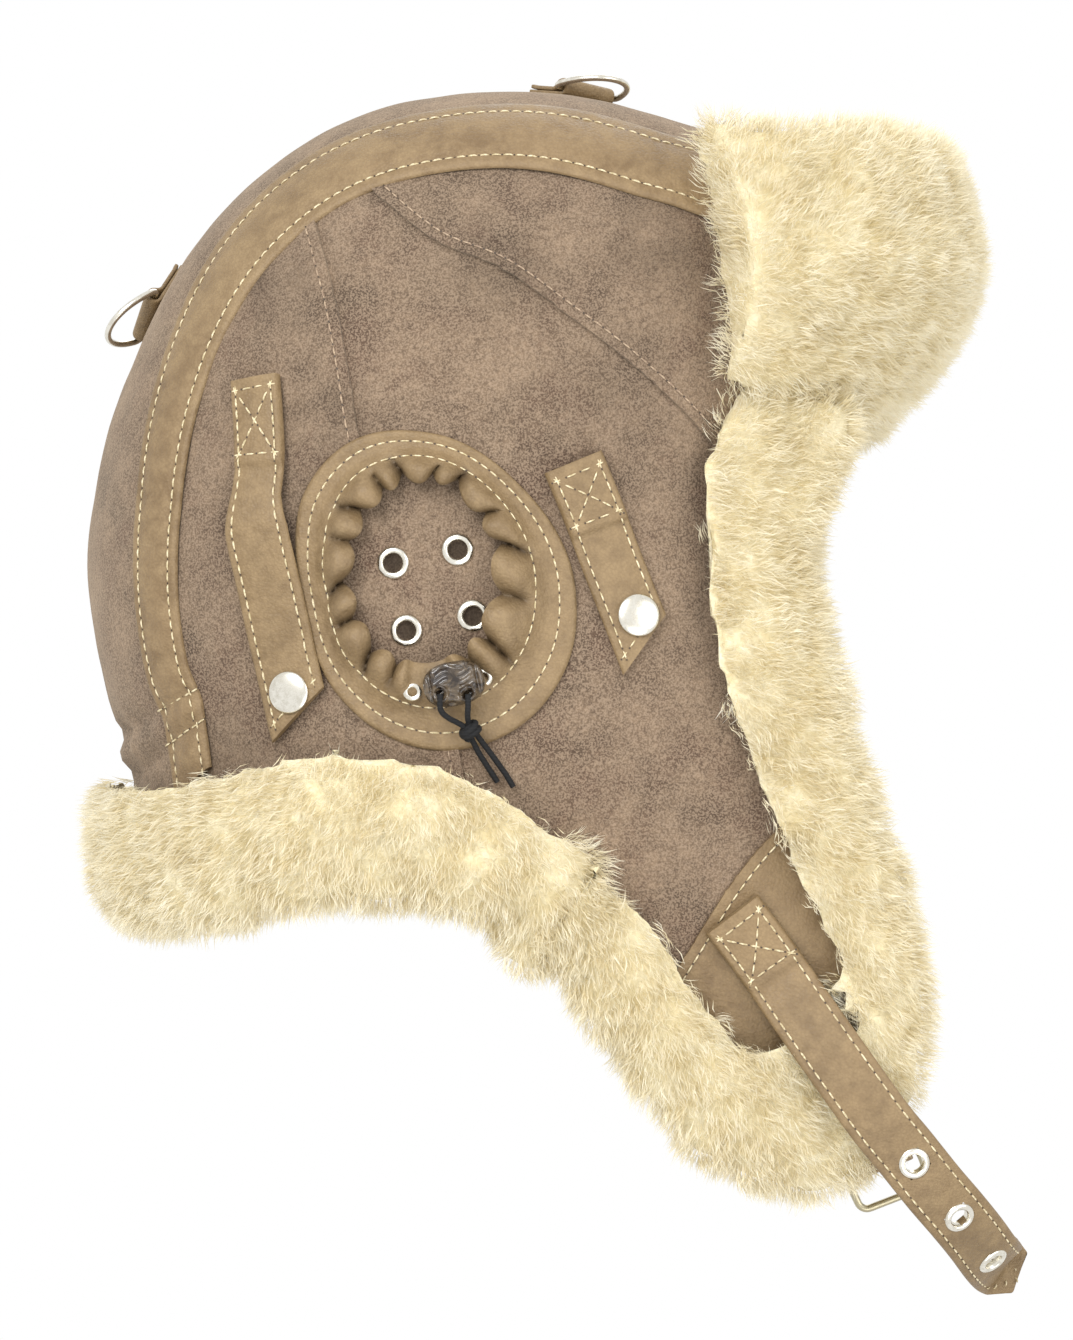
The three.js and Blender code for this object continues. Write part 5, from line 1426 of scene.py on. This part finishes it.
def lockBarrel(side):
    s, hand = cordLock, hands[side]
    centre = cordPlace(s["centre"], side)
    turn = np.arange(s["columns"]) * 2 * math.pi / s["columns"]
    share = np.r_[np.linspace(0, 0.94, 44), 0.97, 0.99, 1][:, None]
    c, n = np.cos(turn), np.sin(turn)
    square = (np.abs(c) ** s["square"] + np.abs(n) ** s["square"]) ** (-1 / s["square"])
    u, v = s["halfWidth"] * share * square * c, s["halfHeight"] * share * square * n
    face = s["faceOut"] + s["bulge"] * np.sqrt(np.clip(1 - share**4, 0, 1)) + 0 * u
    face = face + s["wave"] * np.sin(2.3 * v + 1.6 * np.sin(0.75 * u)) * np.clip(1.2 - (u / 6.5) ** 6, 0, 1)
    face = face - s["lugDepth"] * bell(np.abs(u) - s["lugAt"], 0.55)
    tilt = math.radians(s["tilt"])
    x = centre[0] + u * math.cos(tilt) - v * math.sin(tilt)
    z = centre[2] + u * math.sin(tilt) + v * math.cos(tilt)
    for route in cordRoutes:
        mouth = cordPlace(route[0], side)
        away = np.hypot(x - mouth[0], z - mouth[2])
        face = face + s["ringHeight"] * bell(away - s["ring"], 0.5)
        face = np.where(away < s["bore"], face - s["boreDepth"], face)
    out = side * body["halfBreadth"]
    front = np.stack([x, out + side * face, z], -1)
    back = np.stack([x, np.full_like(x, out + side * s["backOut"]), z], -1)
    quads = gridQuads(len(share), s["columns"], loopColumns=True)
    piece = wallMesh(f"cord_lock_barrel_{hand}", front, back, quads, lockPlastic, sharp=50)
    settle(piece, [f"cord_lock_{hand}"])
    for i in (1, 2):
        node = f"cord_eyelet_{hand}_{i}"
        corners = np.array(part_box(node)).reshape(-1, 3) / mm
        x, _, z = corners.mean(0)
        place = skinBasis(x, z, side, pocketHeightNear(x, z) + 0.1)
        eyelet(node, place, s["eyeletShank"], s["eyeletRadius"], s["eyeletBore"], segments=32)


for side in hands:
    earCords(side)
    lockBarrel(side)
print("stage: ear cords and locks")


# D-rings in their folded leather tabs, and the buckle in its loop
hardware = dict(
    ringWire=2, ringHalf=11, ringFar=15, tabWidth=18, tabTail=17, barPlay=0.4, leather=1.4, buckleWire=2.4,
    buckleHalf=11.7, buckleFar=12.4, buckleCorner=3, loopTail=6, loopWidth=19,
)
ringPlaces = dict(
    crown=dict(deg=72, y=6, turn=-56, stand=17, press=0.4, ahead=(1, 0, 0)),
    back=dict(deg=149, y=9, turn=43, stand=30, press=1, ahead=(-1, 0, -1)),
)


def foldedTab(name, node, matrix, barRadius, tail, width):
    # leather strip folded round a bar at the origin, its two layers sewn together behind it
    s = hardware
    inner = barRadius + s["barPlay"]
    half, middle = s["leather"] / 2, inner + s["leather"] / 2
    low = [(x, -middle) for x in np.linspace(-tail, -0.4, 16)]
    bend = [(middle * math.cos(a), middle * math.sin(a)) for a in np.linspace(-1.5, 1.75, 22)]
    top = [(-middle * 1.1, middle * 0.72), (-middle * 1.7, -inner * 0.1), (-middle * 2.3, -half * 1.05)]
    top += [(x, -half * (1.05 - 0.25 * (x < -tail + 2))) for x in np.linspace(-middle * 2.9, -tail + 0.5, 12)]
    path = smoothPath([(x, 0, z) for x, z in low + bend + top], 90)
    ahead = unit(np.gradient(path, axis=0))
    normal = np.stack([-ahead[:, 2], 0 * ahead[:, 0], ahead[:, 0]], -1)
    f = np.array([-1, -0.985, -0.94, -0.86, -0.7, -0.4, 0, 0.4, 0.7, 0.86, 0.94, 0.985, 1])
    edge = 0.55 + 0.45 * np.sqrt(np.clip((1 - np.abs(f)) / 0.08, 0, 1))
    sheet = path[:, None] + np.stack([0 * f, f * width / 2, 0 * f], -1)
    offset = normal[:, None] * (half * 0.94 * edge)[:, None]
    outer, inside = placed(sheet - offset, matrix), placed(sheet + offset, matrix)
    piece = wallMesh(name, outer, inside, gridQuads(*sheet.shape[:2]), strapNappa, sharp=60)
    settle(piece, [node])


def wireRing(name, node, matrix, points, radius, owner, material):
    path = np.array(points, float)
    looped = np.vstack([path[-2:], path, path[:3]])
    smooth = smoothPath(looped, 40 * len(looped))
    # keep one turn of the smoothed loop
    start = np.argmin(np.linalg.norm(smooth[: 40 * 4] - path[0], axis=1))
    end = len(smooth) // 2 + np.argmin(np.linalg.norm(smooth[len(smooth) // 2 :] - path[0], axis=1))
    loop = spread(smooth[start : end + 1], 121)[:-1]
    world = placed(loop, matrix)
    settle(tube(name, world, radius, 14, material, loop=True), [node], owner)


def dRing(which):
    s, p = hardware, ringPlaces[which]
    seat = onCrown(p["deg"], p["y"])
    up = outward(seat)
    ahead = np.array(p["ahead"], float)
    forward = unit(ahead - up * np.dot(ahead, up))
    radius = s["ringWire"] / 2
    origin = seat + up * (radius + s["barPlay"] + s["leather"] + 0.6 - p["press"])
    place = basis(forward, np.cross(up, forward), up, origin)
    place = place @ Matrix.Rotation(math.radians(p["turn"]), 4, "Z")
    foldedTab(f"{which}_tab_leather", f"{which}_tab", place, radius, s["tabTail"], s["tabWidth"])
    half, far = s["ringHalf"], s["ringFar"]
    bar = [(0, y) for y in np.linspace(-half * 0.94, half * 0.94, 7)]
    bow = [(far * math.cos(a), half * math.sin(a)) for a in np.radians(np.linspace(84, -84, 23))]
    points = [(x, y, 0) for x, y in bar + bow]
    stand = place @ Matrix.Rotation(-math.radians(p["stand"]), 4, "Y")
    wireRing(f"{which}_ring_wire", f"{which}_ring", stand, points, radius, f"{which}_ring", nickel)


def buckleFrame():
    s = hardware
    line = hangingPath(buckleLine, left, 400)
    ahead = unit(line[-1] - line[-2])
    across = unit(np.array([ahead[2], 0, -ahead[0]]))
    up = unit(np.cross(ahead, across))
    down = unit(np.cross(across, up))
    radius = s["buckleWire"] / 2
    origin = line[-1] + down * (s["loopTail"] + 0.3) + up * (radius + s["barPlay"] + s["leather"])
    place = basis(down, np.cross(up, down), up, origin)
    foldedTab("buckle_loop_leather", "buckle_loop", place, radius, s["loopTail"], s["loopWidth"])
    half, far, r = s["buckleHalf"], s["buckleFar"], s["buckleCorner"]
    turn = np.radians(np.linspace(90, 0, 6))
    corner = [(far - r + r * math.cos(a), half - r + r * math.sin(a)) for a in turn]
    points = [(0, y) for y in np.linspace(-half + 1.2, half - 1.2, 9)] + [(1.2, half)] + corner
    points += [(far, y) for y in np.linspace(half - r - 2, -half + r + 2, 5)]
    points += [(x, -y) for x, y in corner[::-1]] + [(1.2, -half)]
    outline = [(x, y, 0) for x, y in points]
    hanging = place @ Matrix.Rotation(math.atan2(up[2], down[2]) + math.pi, 4, "Y")
    wireRing("buckle_wire", "buckle", hanging, outline, radius, "buckle", buckleWire)


for which in ringPlaces:
    dRing(which)
buckleFrame()
print("stage: rings and buckle")


# Stitching: cream on leather and brown on suede, with a flat disc of painted shade for the needle hole
# between two stitches
stitch = dict(pitch=3.5, length=2.9, thick=0.54, sag=0.3, hole=0.3, rows=5, sides=5, holeSides=8)


def stitchObject():
    s = stitch
    points = []
    rows, sides, holeSides = s["rows"], s["sides"], s["holeSides"]
    for t in np.linspace(-1, 1, rows):
        r = s["thick"] / 2 * math.sqrt(max(0.04, 1 - t**4))
        for k in range(sides):
            a = 2 * math.pi * k / sides
            points.append((t * s["length"] / 2, r * math.cos(a), r * math.sin(a) + s["sag"] * (0.4 - t * t)))
    faces = gridQuads(rows, sides, loopColumns=True).tolist()
    # the needle hole is a flat disc, painted dark as shade
    dark = [0.0] * len(points) + [1.0] * holeSides
    faces.append(list(range(len(points), len(dark))))
    for a in np.arange(holeSides) * 2 * math.pi / holeSides:
        points.append((s["pitch"] / 2 + s["hole"] * math.cos(a), s["hole"] * math.sin(a), 0.05))
    return pattern("stitch", points, faces, "hole", dark)


def stitchTree():
    # stitches along lines, standing on each line's own "up"
    tree, given = newTree("stitching", {
        "Pitch": "NodeSocketFloat", "Stitch": "NodeSocketObject", "Material": "NodeSocketMaterial",
    })
    line = addNode(tree, "GeometryNodeMeshToCurve", {"Mesh": given["Geometry"]})
    spots = addNode(tree, "GeometryNodeCurveToPoints", {
        "Curve": line.outputs[0], "Length": given["Pitch"],
    }, mode="LENGTH")
    up = {"Vector": named(tree, "up", "FLOAT_VECTOR")}
    stand = addNode(tree, "FunctionNodeAlignRotationToVector", up, axis="Z")
    laid = addNode(tree, "FunctionNodeAlignRotationToVector", {
        "Rotation": stand.outputs[0], "Vector": spots.outputs["Tangent"],
    }, axis="X", pivot_axis="Z")
    source = addNode(tree, "GeometryNodeObjectInfo", {"Object": given["Stitch"]})
    row = addNode(tree, "GeometryNodeInstanceOnPoints", {
        "Points": spots.outputs["Points"], "Instance": source.outputs["Geometry"],
        "Rotation": laid.outputs[0], "Scale": drawn(tree, 0.92, 1.06, 3),
    })
    finishTree(tree, row.outputs[0], given["Material"])
    return tree


def sewingLines(runs):
    points, ups, edges = [], [], []
    for line, up in runs:
        start = len(points)
        points += list(line)
        ups += list(up)
        edges += [(start + i, start + i + 1) for i in range(len(line) - 1)]
    mesh = bpy.data.meshes.new("sewing")
    mesh.from_pydata((np.array(points) * mm).tolist(), edges, [])
    store(mesh, "up", ups, "FLOAT_VECTOR")
    return show("sewing", mesh)


single, tree = stitchObject(), stitchTree()
threads = [("stitching", stitchRuns, thread), ("suede_stitching", suedeRuns, brownThread)]
for side, hand in hands.items():
    for name, runs, material in threads:
        lines = sewingLines(runs[side])
        values = {"Pitch": stitch["pitch"] * mm, "Stitch": single, "Material": material}
        settle(runTree(f"{name}_{hand}", lines, tree, values))
        bpy.data.objects.remove(lines)
bpy.data.objects.remove(single)
print("stage: stitching")


# Light: a white room, a soft key from the upper left, and weaker lamps from the right, behind and below
light = dict(
    world=1.0,
    areas=[
        dict(name="key", at=(-0.75, -1.8, 0.9), size=1.3, power=38, colour="#FFFFFF"),
        dict(name="fill", at=(1.5, -1.5, 0.2), size=1.6, power=14, colour="#FFFFFF"),
        dict(name="rim", at=(0.2, 1.3, 1.3), size=1.2, power=8, colour="#FFFFFF"),
        dict(name="lower", at=(0.5, -1.5, -1.1), size=1.4, power=9, colour="#FFFFFF"),
    ],
    aim=(0.02, 0, -0.16),
)


def lightRoom():
    world = bpy.data.worlds.new("white_room")
    world.use_nodes = True
    back = world.node_tree.nodes["Background"]
    back.inputs["Color"].default_value = (1, 1, 1, 1)
    back.inputs["Strength"].default_value = light["world"]
    scene.world = world
    for s in light["areas"]:
        data = bpy.data.lights.new(s["name"], "AREA")
        data.shape, data.size, data.energy = "DISK", s["size"], s["power"]
        data.color = colour(s["colour"])[:3]
        lamp = show(s["name"], data)
        lamp.location = s["at"]
        lamp.rotation_euler = (Vector(light["aim"]) - lamp.location).to_track_quat("-Z", "Y").to_euler()


lightRoom()
scene.view_settings.view_transform = "Standard"
print("stage: light")
